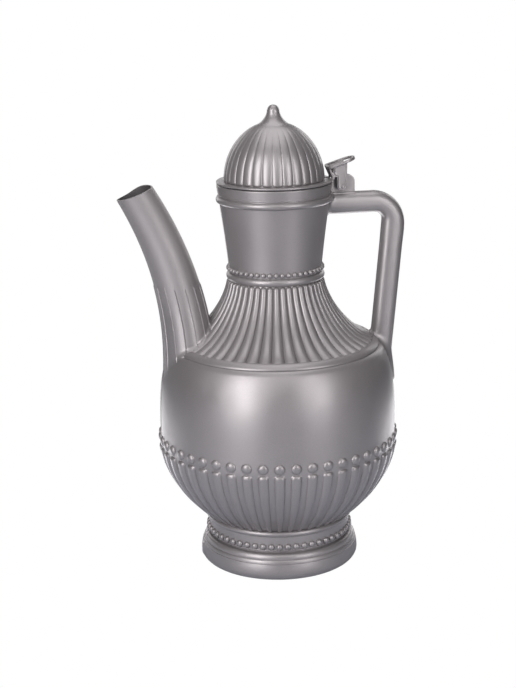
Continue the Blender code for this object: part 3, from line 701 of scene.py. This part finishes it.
def section(centre, lean, half_depth, half_width, turns, power=2.0):
    """Ring round a path in the XZ plane, squarer for a larger power.

    lean is how far the ring's normal tips from +Z to -X.
    """
    across, aside = (np.sign(way) * np.abs(way) ** (2.0 / power) for way in (np.cos(turns), np.sin(turns)))
    return np.stack((centre[0] + half_depth * across * cos(lean), half_width * aside,
                     centre[1] + half_depth * across * sin(lean)), axis=1)


def spout_path(share):
    """Point (x, z) and lean of the spout's axis, from 0 at the root to 1 at the mouth."""
    root = Vector((SPOUT_ROOT_INSET - BELLY_RADIUS, RIDGE_LEVEL - SPOUT_ROOT_DROP))
    mouth = Vector((-BELLY_RADIUS - SPOUT_MOUTH_REACH, RIDGE_LEVEL + SPOUT_MOUTH_RISE))
    rise = root + Vector((0.0, SPOUT_ROOT_PULL))
    fall = mouth + Vector((sin(SPOUT_LEAN), -cos(SPOUT_LEAN))) * SPOUT_MOUTH_PULL
    rest = 1.0 - share
    point = root * rest ** 3 + rise * (3 * rest ** 2 * share)
    point = point + fall * (3 * rest * share ** 2) + mouth * share ** 3
    slope = (rise - root) * rest ** 2 + (fall - rise) * (2 * rest * share) + (mouth - fall) * share ** 2
    return point, atan2(-slope.x, slope.y)


def spout_ring(share, inset, turns):
    """Ring of the spout; the last third turns to the mouth's tilt, the last fifth waves on one side."""
    if share < 0.0:
        root = spout_path(0.0)[0]
        point, lean = root + Vector((SPOUT_TAIL_SPLAY, SPOUT_ROOT_TAIL)) * share, 0.0
    else:
        point, lean = spout_path(share)
        lean += (SPOUT_MOUTH_TILT - lean) * max(0.0, 3.0 * share - 2.0)
    taper = (1.0 - max(share, 0.0)) ** SPOUT_TAPER
    depth = SPOUT_MOUTH_HALF + (SPOUT_ROOT_HALF_DEPTH - SPOUT_MOUTH_HALF) * taper - inset
    width = SPOUT_MOUTH_HALF + (SPOUT_ROOT_HALF_WIDTH - SPOUT_MOUTH_HALF) * taper - inset
    ring = section(point, lean, depth, width, turns)
    wave = SPOUT_LIP_WAVE * max(0.0, 5.0 * share - 4.0) ** 2
    wave = wave * np.cos(turns) * np.clip(np.sin(turns), 0.0, None) ** 2
    return ring + wave[:, None] * SPOUT_WAY, np.array((point[0], 0.0, point[1]))


def spout():
    """Spout as a full solid, with fine ridges up to SPOUT_RIDGE_TOP."""
    pitches = np.repeat(np.arange(SPOUT_RIDGES), len(SPOUT_PLACES))
    across = np.tile(SPOUT_PLACES, SPOUT_RIDGES)
    turns = 2.0 * pi * (pitches + 0.5 * across) / SPOUT_RIDGES
    crest = SPOUT_RIDGE_HEIGHT * np.clip(1.0 - np.abs(across) / SPOUT_RIDGE_SHARE, 0.0, 1.0)
    rings, centres = [], []
    for share in np.concatenate((np.linspace(-1.0, 0.0, 20, endpoint=False), np.linspace(0.0, 1.0, 130))):
        ring, centre = spout_ring(share, 0.0, turns)
        under = np.clip((SPOUT_RIDGE_TOP - ring[:, 2]) / SPOUT_RIDGE_END, 0.0, 1.0)
        rings.append(ring + directions(ring, centre) * (crest * under)[:, None])
        centres.append(centre)
    rings = flared(rings, centres, SPOUT_FILLET)
    lip = spout_ring(1.0, SPOUT_LIP_ROUNDING, turns)[0]
    rings.append(lip + SPOUT_WAY * SPOUT_LIP_RISE)
    return lofted("spout", rings)


def spout_bore():
    """Hollow of the spout, from the belly to beyond the mouth; its wall thins over the last fifth."""
    turns = 2.0 * pi * np.arange(BORE_SIDES) / BORE_SIDES
    rings = []
    for share in np.linspace(BORE_START, 1.0, 60):
        wall = LIP_WALL + (WALL - LIP_WALL) * min(1.0, 5.0 * (1.0 - share))
        rings.append(spout_ring(share, wall, turns)[0])
    rings.append(spout_ring(1.0, LIP_WALL - SPOUT_LIP_ROUNDING, turns)[0] + SPOUT_WAY * BORE_OVERRUN)
    return lofted("spout_bore", rings)


def limb_x(height):
    """Where the axis of the handle's limb lies at a height, on its straight run."""
    top = ARM_LEVEL + ARM_HALF_HEIGHT - HANDLE_OUTER_CORNER
    return HANDLE_REACH - LIMB_HALF_DEPTH - (top - height) * tan(LIMB_LEAN)


def handle_stations():
    """Centre, lean and half sizes along the handle, from the collar to its root on the belly."""
    outer = Vector((HANDLE_REACH - HANDLE_OUTER_CORNER, ARM_LEVEL + ARM_HALF_HEIGHT - HANDLE_OUTER_CORNER))
    inner = Vector((HANDLE_REACH - 2.0 * LIMB_HALF_DEPTH - HANDLE_INNER_CORNER,
                    ARM_LEVEL - ARM_HALF_HEIGHT - HANDLE_INNER_CORNER))
    corner = []
    for turn in np.linspace(0.0, 0.5 * pi + LIMB_LEAN, 24):
        ray = Vector((sin(turn), cos(turn)))
        near = inner + ray * HANDLE_INNER_CORNER
        span = outer + ray * HANDLE_OUTER_CORNER - near
        corner.append((near + span * 0.5, atan2(span.y, span.x), 0.5 * span.length, HANDLE_HALF_WIDTH))
    start = Vector((COLLAR_BORE_RADIUS - HANDLE_SINK, ARM_LEVEL))
    stations = []
    for share in np.linspace(0.0, 1.0, 36, endpoint=False):
        lean = 0.5 * pi + (corner[0][1] - 0.5 * pi) * share
        stations.append((start.lerp(corner[0][0], share), lean, ARM_HALF_HEIGHT, HANDLE_HALF_WIDTH))
    stations += corner
    knee = RIDGE_LEVEL - LIMB_KNEE_DROP
    fall = LIMB_ROOT_DROP - LIMB_KNEE_DROP
    top = corner[-1][0].y
    for share in np.linspace(0.0, 1.0, 40)[1:]:
        height = top + (knee - top) * share
        blend = max(0.0, 1.0 - 6.0 * share)
        lean = -LIMB_LEAN + (corner[-1][1] + LIMB_LEAN) * blend
        depth = LIMB_HALF_DEPTH + (corner[-1][2] - LIMB_HALF_DEPTH) * blend
        stations.append((Vector((limb_x(height), height)), lean, depth, HANDLE_HALF_WIDTH))
    for share in np.linspace(0.0, 1.0, 26)[1:]:
        taper = share ** 3
        centre = Vector((limb_x(knee) + LIMB_ROOT_SPLAY * share ** 2, knee - fall * share))
        lean = atan2(2.0 * LIMB_ROOT_SPLAY * share, fall) - LIMB_LEAN * (1.0 - share)
        depth = LIMB_HALF_DEPTH + (LIMB_ROOT_HALF_DEPTH - LIMB_HALF_DEPTH) * taper
        width = HANDLE_HALF_WIDTH + (LIMB_ROOT_HALF_WIDTH - HANDLE_HALF_WIDTH) * taper
        stations.append((centre, lean, depth, width))
    return stations


def handle():
    """Handle as a full solid, with its parting line outside and inside the loop."""
    flank = np.linspace(HANDLE_FLANK, pi - HANDLE_FLANK, 16)
    turns = np.concatenate((HANDLE_SEAM, flank, HANDLE_SEAM + pi, flank + pi))
    ridge = SEAM_PROUD * np.isclose(np.sin(turns), 0.0)
    rings, centres = [], []
    for centre, lean, depth, width in handle_stations():
        ring = section(centre, lean, depth, width, turns, HANDLE_SQUARENESS)
        middle = np.array((centre[0], 0.0, centre[1]))
        rings.append(ring + directions(ring, middle) * ridge[:, None])
        centres.append(middle)
    last, middle = rings[-1], centres[-1]
    rings = flared(rings, centres, HANDLE_FILLET)
    for shrink, drop in HANDLE_TIP:
        rings.append(middle + (last - middle) * shrink - np.array((0.0, 0.0, drop)))
    return lofted("handle", rings)


def bead_row(name, radius, level, tilt, size, proud, count):
    """Round beads on a circle, each a domed cap sunk into the wall; tilt tips them upwards."""
    half = 0.5 * size
    ease = 2.0 / BEAD_POWER
    cap = [(half, -BEAD_ROOT * size)]
    cap += [(half * cos(turn) ** ease, proud * sin(turn) ** ease) for turn in np.linspace(0.0, BEAD_TOP, 9)]
    turns = 2.0 * pi * np.arange(BEAD_SIDES) / BEAD_SIDES
    verts, faces = [], []
    for index in range(count):
        angle = 2.0 * pi * index / count
        place = Matrix.Rotation(angle, 4, "Z") @ Matrix.Translation((radius, 0.0, level))
        place = place @ Matrix.Rotation(0.5 * pi - tilt, 4, "Y")
        start = len(verts)
        for reach, rise in cap:
            verts += [place @ Vector((reach * cos(turn), reach * sin(turn), rise)) for turn in turns]
        for row in range(len(cap) - 1):
            low = start + row * BEAD_SIDES
            high = low + BEAD_SIDES
            for spot in range(BEAD_SIDES):
                after = (spot + 1) % BEAD_SIDES
                faces.append((low + spot, low + after, high + after, high + spot))
        faces.append(tuple(range(start, start + BEAD_SIDES))[::-1])
        faces.append(tuple(range(len(verts) - BEAD_SIDES, len(verts))))
    return mesh_object(name, verts, faces)


def seam_strip(name, side):
    """Ridge of the parting line up one meridian, in the valleys of the ribs."""
    points = np.concatenate((foot_points()[7:], belly_points(WAIST_TOP + WAIST_RING, RIDGE_FOOT, 60),
                             offset(shoulder_crest()[2:-2], -RIB_DEPTH), neck_points(12)))
    points = np.concatenate((points, [(COLLAR_RADIUS - COLLAR_TAPER, COLLAR_LEVEL + 0.6 * COLLAR_RING),
                                      (COLLAR_RADIUS, RIM_LEVEL - MM)]))
    normals = profile_normals(points)
    across = ((-1.0, -2.0), (-0.8, 0.0), (-0.3, 1.0), (0.3, 1.0), (0.8, 0.0), (1.0, -2.0))
    rings = []
    for point, normal in zip(points, normals):
        rings.append(np.array([(side * (point[0] + normal[0] * SEAM_PROUD * lift), SEAM_HALF_WIDTH * place,
                                point[1] + normal[1] * SEAM_PROUD * lift) for place, lift in across]))
    return lofted(name, rings)


def prism(name, *ends):
    """Solid between two outlines of (x, z) points, each after its own y."""
    return lofted(name, [np.array([(x, y, z) for x, z in outline]) for y, outline in sorted(ends)])


def plate(name, outline, near, far):
    return prism(name, (near, outline), (far, outline))


def oblong(left, right, low, high):
    return [(left, low), (right, low), (right, high), (left, high)]


def arc(centre, radius, start, end, steps):
    """Points on an arc, by angles from the first axis towards the second."""
    angles = [start + (end - start) * step / steps for step in range(steps + 1)]
    return [(centre[0] + radius * cos(angle), centre[1] + radius * sin(angle)) for angle in angles]


def hinge_lug():
    """Plate on the arm, with a raised rim along its foot and beside the collar."""
    bottom = ARM_LEVEL + ARM_HALF_HEIGHT - LUG_SINK
    top = PIVOT.z + LUG_RISE
    right = PIVOT.x + LUG_REACH
    left = COLLAR_RADIUS - MM
    clear = FLANGE_RADIUS + RUNNING_GAP
    outline = [(left, bottom), (right, bottom)]
    outline += arc((right - LUG_CORNER, top - LUG_CORNER), LUG_CORNER, 0.0, 0.5 * pi, 6)
    outline += [(clear, top), (clear, RIM_LEVEL), (left, RIM_LEVEL)]
    item = plate("hinge_lug", outline, -0.5 * LUG_THICKNESS, 0.5 * LUG_THICKNESS)
    sill = PIVOT.z - CHEEK_END_RADIUS - RUNNING_GAP
    for name, rim in (("lug_foot", oblong(left, right, bottom, sill)),
                      ("lug_post", oblong(left, left + LUG_POST, bottom, RIM_LEVEL))):
        combine(item, plate(name, rim, -LUG_RIM_HALF, LUG_RIM_HALF), "UNION")
    return softened(item)


def jug():
    """The jug as one moulding, hollowed out last."""
    item = lofted("jug_moulding", outer_rings())
    pieces = [
        bead_row("belly_beads", BELLY_BEAD_RADIUS, BELLY_BEAD_LEVEL, BELLY_BEAD_TILT, BELLY_BEAD,
                 BELLY_BEAD_PROUD, TONGUE_COUNT),
        bead_row("foot_beads", WAIST_RADIUS, FOOT_BEAD_LEVEL, 0.0, FOOT_BEAD, FOOT_BEAD_PROUD,
                 FOOT_BEAD_COUNT),
        bead_row("neck_beads", NECK_RADIUS, NECK_LEVEL + NECK_RING + NECK_BEAD_RISE, NECK_BEAD_TILT,
                 NECK_BEAD, NECK_BEAD_PROUD, NECK_BEAD_COUNT),
        seam_strip("spout_seam", -1.0), seam_strip("handle_seam", 1.0),
        spout(), handle(), hinge_lug()]
    for piece in pieces:
        combine(item, piece, "UNION")
    combine(item, lofted("hollow", inner_rings()), "DIFFERENCE")
    combine(item, spout_bore(), "DIFFERENCE")
    return item


def dome_points(steps):
    """Crest of the dome's ribs; the dome stops short of its pole by DOME_CROWN."""
    turn = 0.5 * pi * np.arange(steps + 1) / steps
    rise = DOME_HEIGHT * np.sin(turn)
    radius = DOME_RADIUS * np.sqrt(1.0 - (rise / (DOME_HEIGHT + DOME_CROWN)) ** 2)
    return [(r, DOME_LEVEL + z) for r, z in zip(radius, rise)]


def blended(points, reach):
    """Profile with its corners eased over a length of reach, its ends kept."""
    points = np.asarray(points)
    along = arc_lengths(points)
    total = along[-1]
    eased = np.zeros(points.shape)
    shifts = np.linspace(-0.5, 0.5, 9)
    room = np.minimum(1.0, 2.0 * np.minimum(along, total - along) / reach)
    for shift in shifts:
        eased += resampled(points, along + shift * reach * room) / len(shifts)
    return eased


def dome_zone():
    """Ribs of the dome, round at the flange and faded out below the finial."""
    crests = dome_points(80)
    foot = crests[-1]
    finial_top = foot[1] + FINIAL_NECK_HEIGHT
    profile = blended(crests + sweep(foot, (FINIAL_RADIUS, finial_top), 40)[1:], FINIAL_EASE).tolist()
    tip = (FINIAL_POINT_RADIUS, finial_top + FINIAL_TIP_HEIGHT)
    profile += quarter((FINIAL_RADIUS, finial_top), tip, 12, False)[1:]
    ribbed = arc_lengths(crests)[-1]
    total = arc_lengths(profile)[-1]
    rows = end_rows(total, DOME_RIB_END, FINIAL_TIP_HEIGHT, 44)
    points = resampled(profile, rows)

    def relief(place, along):
        radius = np.interp(along, arc_lengths(points), points[:, 0]) / DOME_RADIUS
        fade = (1.0 - DOME_RIB_FADE * np.clip(along / ribbed, 0.0, 1.0)) ** DOME_FADE_POWER
        fade *= np.clip((ribbed - along) / DOME_FADE_LENGTH, 0.0, 1.0)
        shape = lobe(place, along, 2.0 * total, DOME_RIB_END, DOME_RIB_END, DOME_RIB_POWER, DOME_RIB_EDGE)
        return DOME_RIB_DEPTH * radius ** 0.5 * fade * (shape - 1.0)

    return zone(points, DOME_RIB_COUNT, rib_places(5), relief)


def lid_rings():
    """The lid from the middle of its inside, round its plug and flange, and up to its tip."""
    plug_radius = COLLAR_BORE_RADIUS - PLUG_GAP
    plug_bottom = FLANGE_LEVEL - PLUG_DEPTH
    crests = dome_points(20)
    inside = offset(crests, -DOME_RIB_DEPTH - WALL).tolist()[::-1]
    rings = zone([(FINIAL_RADIUS, inside[0][1])] + inside[:-1], INNER_SIDES)
    plug_inside = plug_radius - WALL
    plug = [(plug_inside, FLANGE_LEVEL), (plug_inside, plug_bottom + EDGE_RUN),
            (plug_inside + EDGE_RUN, plug_bottom), (plug_radius - EDGE_RUN, plug_bottom),
            (plug_radius, plug_bottom + EDGE_RUN), (plug_radius, FLANGE_LEVEL)]
    shelf = FLANGE_RADIUS - FLANGE_ROUNDING
    flange = quarter((shelf, FLANGE_LEVEL), (FLANGE_RADIUS, FLANGE_LEVEL + FLANGE_ROUNDING), 4, True)
    flange += quarter((FLANGE_RADIUS, DOME_LEVEL - FLANGE_ROUNDING), (shelf, DOME_LEVEL), 4, False)
    rings += zone(plug + flange)
    return rings + dome_zone()


def lever_point(along, above):
    """Point (x, z) in the thumb loop's tilted frame, whose origin is over the pivot."""
    x = PIVOT.x + LEVER_SHIFT + along * cos(LEVER_TILT) - above * sin(LEVER_TILT)
    z = PIVOT.z + LEVER_RISE + along * sin(LEVER_TILT) + above * cos(LEVER_TILT)
    return x, z


def loop_plate(name, length, width, corner, low, high):
    """Plate in the thumb loop's frame, round at its free end and square at the other."""
    half = 0.5 * width
    straight = 0.5 * length
    outline = arc((straight - half, 0.0), half, -0.5 * pi, 0.5 * pi, 16)
    outline += arc((corner - straight, half - corner), corner, 0.5 * pi, pi, 5)
    outline += arc((corner - straight, corner - half), corner, pi, 1.5 * pi, 5)
    rings = []
    for above in (low, high):
        spots = [lever_point(along, above) for along, aside in outline]
        rings.append(np.array([(x, aside, z) for (x, z), (along, aside) in zip(spots, outline)]))
    return lofted(name, rings)


def pivot_points(*spots):
    """Points (x, z) given from the pivot."""
    return [(PIVOT.x + across, PIVOT.z + rise) for across, rise in spots]


def cheek_outline(inset):
    """Side of the lever: a round-ended tongue on the pin that widens below the loop."""
    end = CHEEK_END_RADIUS - inset
    right = CHEEK_RIGHT - inset
    left = CHEEK_LEFT + inset
    step = CHEEK_STEP + inset
    outline = arc(pivot_points(CHEEK_END)[0], end, -pi, 0.0, 12)
    outline += [lever_point(right, -inset), lever_point(left, -inset)]
    return outline + pivot_points((left, step + CHEEK_BEND), (left + CHEEK_BEND, step),
                                  (CHEEK_END[0] - end, step - 0.5 * CHEEK_BEND))


def strut_outline():
    """Stay from the square end of the loop down to the lid's flange."""
    top = [lever_point(STRUT_WIDTH - 0.5 * LEVER_LENGTH, 0.0), lever_point(-0.5 * LEVER_LENGTH, 0.0)]
    foot = Vector((FLANGE_RADIUS - PIVOT.x, DOME_LEVEL - PIVOT.z))
    low = foot.y - STRUT_ROOT
    return top + pivot_points((foot.x - STRUT_HEEL, foot.y + STRUT_ANKLE), (foot.x - STRUT_TOE, low),
                              (foot.x + 0.6 * STRUT_WIDTH, low), (foot.x + STRUT_WIDTH, foot.y + STRUT_HEEL))


def sunk_face(side):
    """Dish with sloping sides, to cut out of the outer face of one cheek."""
    return prism("sunk_face", (side * (CHEEK_OUTER - CHEEK_SUNK), cheek_outline(CHEEK_BORDER + CHEEK_SLOPE)),
                 (side * (CHEEK_OUTER + CUT_OVERLAP), cheek_outline(CHEEK_BORDER)))


def thumb_lever():
    """Slotted thumb loop on two cheeks, each with a sunk face, and stays to the flange."""
    half = 0.5 * LEVER_THICKNESS
    item = loop_plate("thumb_lever", LEVER_LENGTH, LEVER_WIDTH, LEVER_CORNER, -half, half)
    slot = loop_plate("slot", LEVER_LENGTH - 2.0 * LEVER_RIM, LEVER_WIDTH - 2.0 * LEVER_RIM,
                      0.5 * LEVER_CORNER, -SLOT_OVERCUT * half, 2.0 * half)
    for side in (1.0, -1.0):
        for name, outline in (("cheek", cheek_outline(0.0)), ("strut", strut_outline())):
            combine(item, plate(name, outline, side * CHEEK_INNER, side * CHEEK_OUTER), "UNION")
        combine(item, sunk_face(side), "DIFFERENCE")
    combine(item, slot, "DIFFERENCE")
    return softened(item)


def lid():
    """The lid as one moulding with its lever, notched where the lug stands."""
    item = lofted("lid_moulding", lid_rings())
    half = 0.5 * LUG_THICKNESS + RUNNING_GAP
    notch = oblong(DOME_RADIUS + MM, PIVOT.x, FLANGE_LEVEL - MM, DOME_LEVEL + MM)
    combine(item, plate("lug_notch", notch, -half, half), "DIFFERENCE")
    combine(item, thumb_lever(), "UNION")
    return item


def pin():
    """Hinge pin along Y, with a low round head in the dish of each cheek."""
    shoulder = CHEEK_OUTER - CHEEK_SUNK - PIN_SHOULDER_SINK
    dome = quarter((PIN_HEAD_RADIUS, shoulder), (PIN_TIP_RADIUS, shoulder + PIN_HEAD_HEIGHT), 6, False)
    half = [(PIN_RADIUS, 0.5 * shoulder), (PIN_RADIUS, shoulder)] + dome
    points = [(radius, -reach) for radius, reach in reversed(half)] + half
    rings = [ring[:, (0, 2, 1)] * (1.0, 1.0, -1.0) + np.array(PIVOT) for ring in zone(points, PIN_SIDES)]
    return lofted("pin", rings)


def stretch(tree, source, reach, values):
    """Map a socket's value from one range to another."""
    made = tree.nodes.new("ShaderNodeMapRange")
    for name, value in zip(("From Min", "From Max", "To Min", "To Max"), (*reach, *values)):
        made.inputs[name].default_value = value
    tree.links.new(source, made.inputs["Value"])
    return made.outputs["Result"]


def scaled(tree, colour, share):
    """Colour times a socket's value."""
    made = tree.nodes.new("ShaderNodeVectorMath")
    made.operation = "SCALE"
    made.inputs[0].default_value = colour
    tree.links.new(share, made.inputs["Scale"])
    return made.outputs["Vector"]


def new_material(name):
    material = bpy.data.materials.new(name)
    material.use_nodes = True
    tree = material.node_tree
    return material, tree, tree.nodes["Principled BSDF"]


def plastic(name, colour, roughness):
    """Satin plastic with metal flake: fine sparkle, cloudy gloss and a faint moulded grain."""
    material, tree, shader = new_material(name)
    shader.inputs["Metallic"].default_value = METAL_FLAKE
    shader.inputs["IOR"].default_value = 1.5
    place = tree.nodes.new("ShaderNodeTexCoord").outputs["Object"]

    def noise(scale, detail):
        made = tree.nodes.new("ShaderNodeTexNoise")
        made.inputs["Scale"].default_value = scale
        made.inputs["Detail"].default_value = detail
        tree.links.new(place, made.inputs["Vector"])
        return made.outputs["Fac"]

    def cloudy(scale, detail, low, high, middle=0.0):
        return stretch(tree, noise(scale, detail), NOISE_REACH, (middle + low, middle + high))

    def calculated(operation, *sources):
        made = tree.nodes.new("ShaderNodeMath")
        made.operation = operation
        for socket, source in zip(made.inputs, sources):
            tree.links.new(source, socket)
        return made.outputs["Value"]

    shade = calculated("MULTIPLY", cloudy(*FLAKE), cloudy(*CLOUD))
    tree.links.new(scaled(tree, colour, shade), shader.inputs["Base Color"])
    axes = tree.nodes.new("ShaderNodeSeparateXYZ")
    tree.links.new(place, axes.inputs["Vector"])
    outward = stretch(tree, axes.outputs["X"], SPOUT_MATTE_X, (0.0, SPOUT_MATTE))
    upward = stretch(tree, axes.outputs["Z"], SPOUT_MATTE_Z, (0.0, 1.0))
    gloss = calculated("MULTIPLY_ADD", outward, upward, cloudy(*GLOSS, roughness))
    tree.links.new(gloss, shader.inputs["Roughness"])
    bump = tree.nodes.new("ShaderNodeBump")
    bump.inputs["Strength"].default_value = GRAIN_STRENGTH
    bump.inputs["Distance"].default_value = GRAIN_DEPTH
    tree.links.new(noise(*GRAIN), bump.inputs["Height"])
    tree.links.new(bump.outputs["Normal"], shader.inputs["Normal"])
    return material


def dress(item, body, material, nodes):
    """Shade a finished piece, hang it on its body and let it stand for its CAD nodes."""
    item.data.materials.clear()
    item.data.materials.append(material)
    item.data.shade_smooth()
    item.data.set_sharp_from_angle(angle=CREASE)
    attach(item, body)
    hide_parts(*nodes)


def paint_bore_shade(item, material):
    """Paint shade inside the spout: its faces that look towards its axis get a darker, duller plastic."""
    item.data.materials.append(material)
    points = [spout_path(share)[0] for share in np.linspace(BORE_AXIS_START, 1.0, 60)]
    axis = np.array([(point.x, 0.0, point.y) for point in points])
    for face in item.data.polygons:
        if face.center.x < BORE_EDGE and face.center.z > BORE_BOTTOM:
            away = np.array(face.center) - axis
            nearest = away[np.argmin(np.linalg.norm(away, axis=1))]
            if nearest @ np.array(face.normal) < BORE_FACING * np.linalg.norm(nearest):
                face.material_index = 1


def photo_camera():
    data = bpy.data.cameras.new("camera")
    data.lens = CAMERA_LENS
    data.sensor_width = CAMERA_SENSOR
    camera = placed("camera", data)
    camera.matrix_world = (Matrix.Rotation(-CAMERA_TURN, 4, "Z") @ Matrix.Translation(CAMERA_PLACE)
                           @ Matrix.Rotation(0.5 * pi - CAMERA_DIP, 4, "X")
                           @ Matrix.Rotation(-CAMERA_ROLL, 4, "Z"))
    bpy.context.scene.camera = camera


def area_lamp(name, width, height, power):
    data = bpy.data.lights.new(name, "AREA")
    data.shape = "RECTANGLE"
    data.size = width
    data.size_y = height
    data.energy = power
    return placed(name, data)


def softbox(name, azimuth, elevation, width, height, power):
    """Lamp that faces the jug; azimuth runs from the camera to the right, in degrees."""
    turn = radians(azimuth) - CAMERA_TURN
    rise = radians(elevation)
    way = Vector((sin(turn) * cos(rise), -cos(turn) * cos(rise), sin(rise)))
    lamp = area_lamp(name, width, height, power)
    lamp.location = LAMP_TARGET + way * LAMP_DISTANCE
    lamp.rotation_euler = way.to_track_quat("Z", "Y").to_euler()


def floor_glow(name, azimuth, distance, size, power):
    """Bright patch of the table behind the jug, which only its reflections show."""
    turn = radians(azimuth) - CAMERA_TURN
    lamp = area_lamp(name, size, size, power)
    lamp.location = (sin(turn) * distance, -cos(turn) * distance, GLOW_LEVEL)
    lamp.rotation_euler = (pi, 0.0, 0.0)
    lamp.visible_camera = False


def studio():
    """White surroundings for the camera, dimmer for the object, and soft lamps round it."""
    world = bpy.data.worlds.new("studio")
    bpy.context.scene.world = world
    world.use_nodes = True
    tree = world.node_tree
    back = tree.nodes["Background"]
    back.inputs["Color"].default_value = WHITE
    ray = tree.nodes.new("ShaderNodeLightPath")
    strength = stretch(tree, ray.outputs["Is Camera Ray"], (0.0, 1.0), (ROOM_LIGHT, 1.0))
    tree.links.new(strength, back.inputs["Strength"])
    softbox("left_softbox", -34.0, 15.0, 0.5, 1.15, 13.8)
    softbox("right_softbox", 38.0, 13.5, 0.36, 1.0, 6.7)
    softbox("front_high", 8.0, 42.0, 0.5, 0.4, 1.2)
    softbox("top_softbox", 172.0, 84.0, 0.9, 1.2, 7.4)
    softbox("left_rim", -150.0, 15.0, 0.4, 0.6, 1.4)
    softbox("right_rim", 150.0, 15.0, 0.4, 0.6, 1.8)
    softbox("backdrop", 180.0, 15.0, 0.7, 0.3, 1.0)
    floor_glow("left_glow", -150.0, 0.3, 0.4, 1.25)
    floor_glow("right_glow", 152.0, 0.3, 0.4, 1.4)


def floor():
    """Table that is white to the camera, pale and a little blue in the jug's reflections, and darker there
    with distance as painted shade.
    """
    corners = [(TABLE_HALF * x, TABLE_HALF * y, 0.0) for x, y in ((-1, -1), (1, -1), (1, 1), (-1, 1))]
    item = mesh_object("floor", corners, [(0, 1, 2, 3)])
    material, tree, shader = new_material("floor_white")
    shader.inputs["Roughness"].default_value = 0.9
    place = tree.nodes.new("ShaderNodeTexCoord")
    reach = tree.nodes.new("ShaderNodeVectorMath")
    reach.operation = "LENGTH"
    tree.links.new(place.outputs["Object"], reach.inputs[0])
    # Painted shade: the table's tint fades from TABLE_NEAR to TABLE_FAR, down to TABLE_FAR_SHARE of itself
    share = stretch(tree, reach.outputs["Value"], (TABLE_NEAR, TABLE_FAR), (1.0, TABLE_FAR_SHARE))
    tree.links.new(scaled(tree, TABLE_TINT, share), shader.inputs["Base Color"])
    glow = tree.nodes.new("ShaderNodeEmission")
    glow.inputs["Color"].default_value = WHITE
    ray = tree.nodes.new("ShaderNodeLightPath")
    mix = tree.nodes.new("ShaderNodeMixShader")
    tree.links.new(ray.outputs["Is Camera Ray"], mix.inputs["Fac"])
    tree.links.new(shader.outputs["BSDF"], mix.inputs[1])
    tree.links.new(glow.outputs["Emission"], mix.inputs[2])
    tree.links.new(mix.outputs["Shader"], tree.nodes["Material Output"].inputs["Surface"])
    item.data.materials.append(material)


jug_piece = jug()
dress(jug_piece, "jug", plastic("jug_plastic", GREY, JUG_ROUGHNESS),
      ("body_shell", "spout", "handle", "hinge_lug"))
# Painted shade inside the spout's mouth: a darker plastic on its inner faces
paint_bore_shade(jug_piece, plastic("bore_painted_shade", BORE_SHADE_GREY, BORE_ROUGHNESS))
dress(lid(), "lid", plastic("lid_plastic", GREY, LID_ROUGHNESS), ("lid", "thumb_lever"))
dress(pin(), "jug", plastic("pin_plastic", GREY, LID_ROUGHNESS), ("hinge_pin",))
photo_camera()
studio()
floor()
bpy.context.scene.view_settings.view_transform = "Standard"
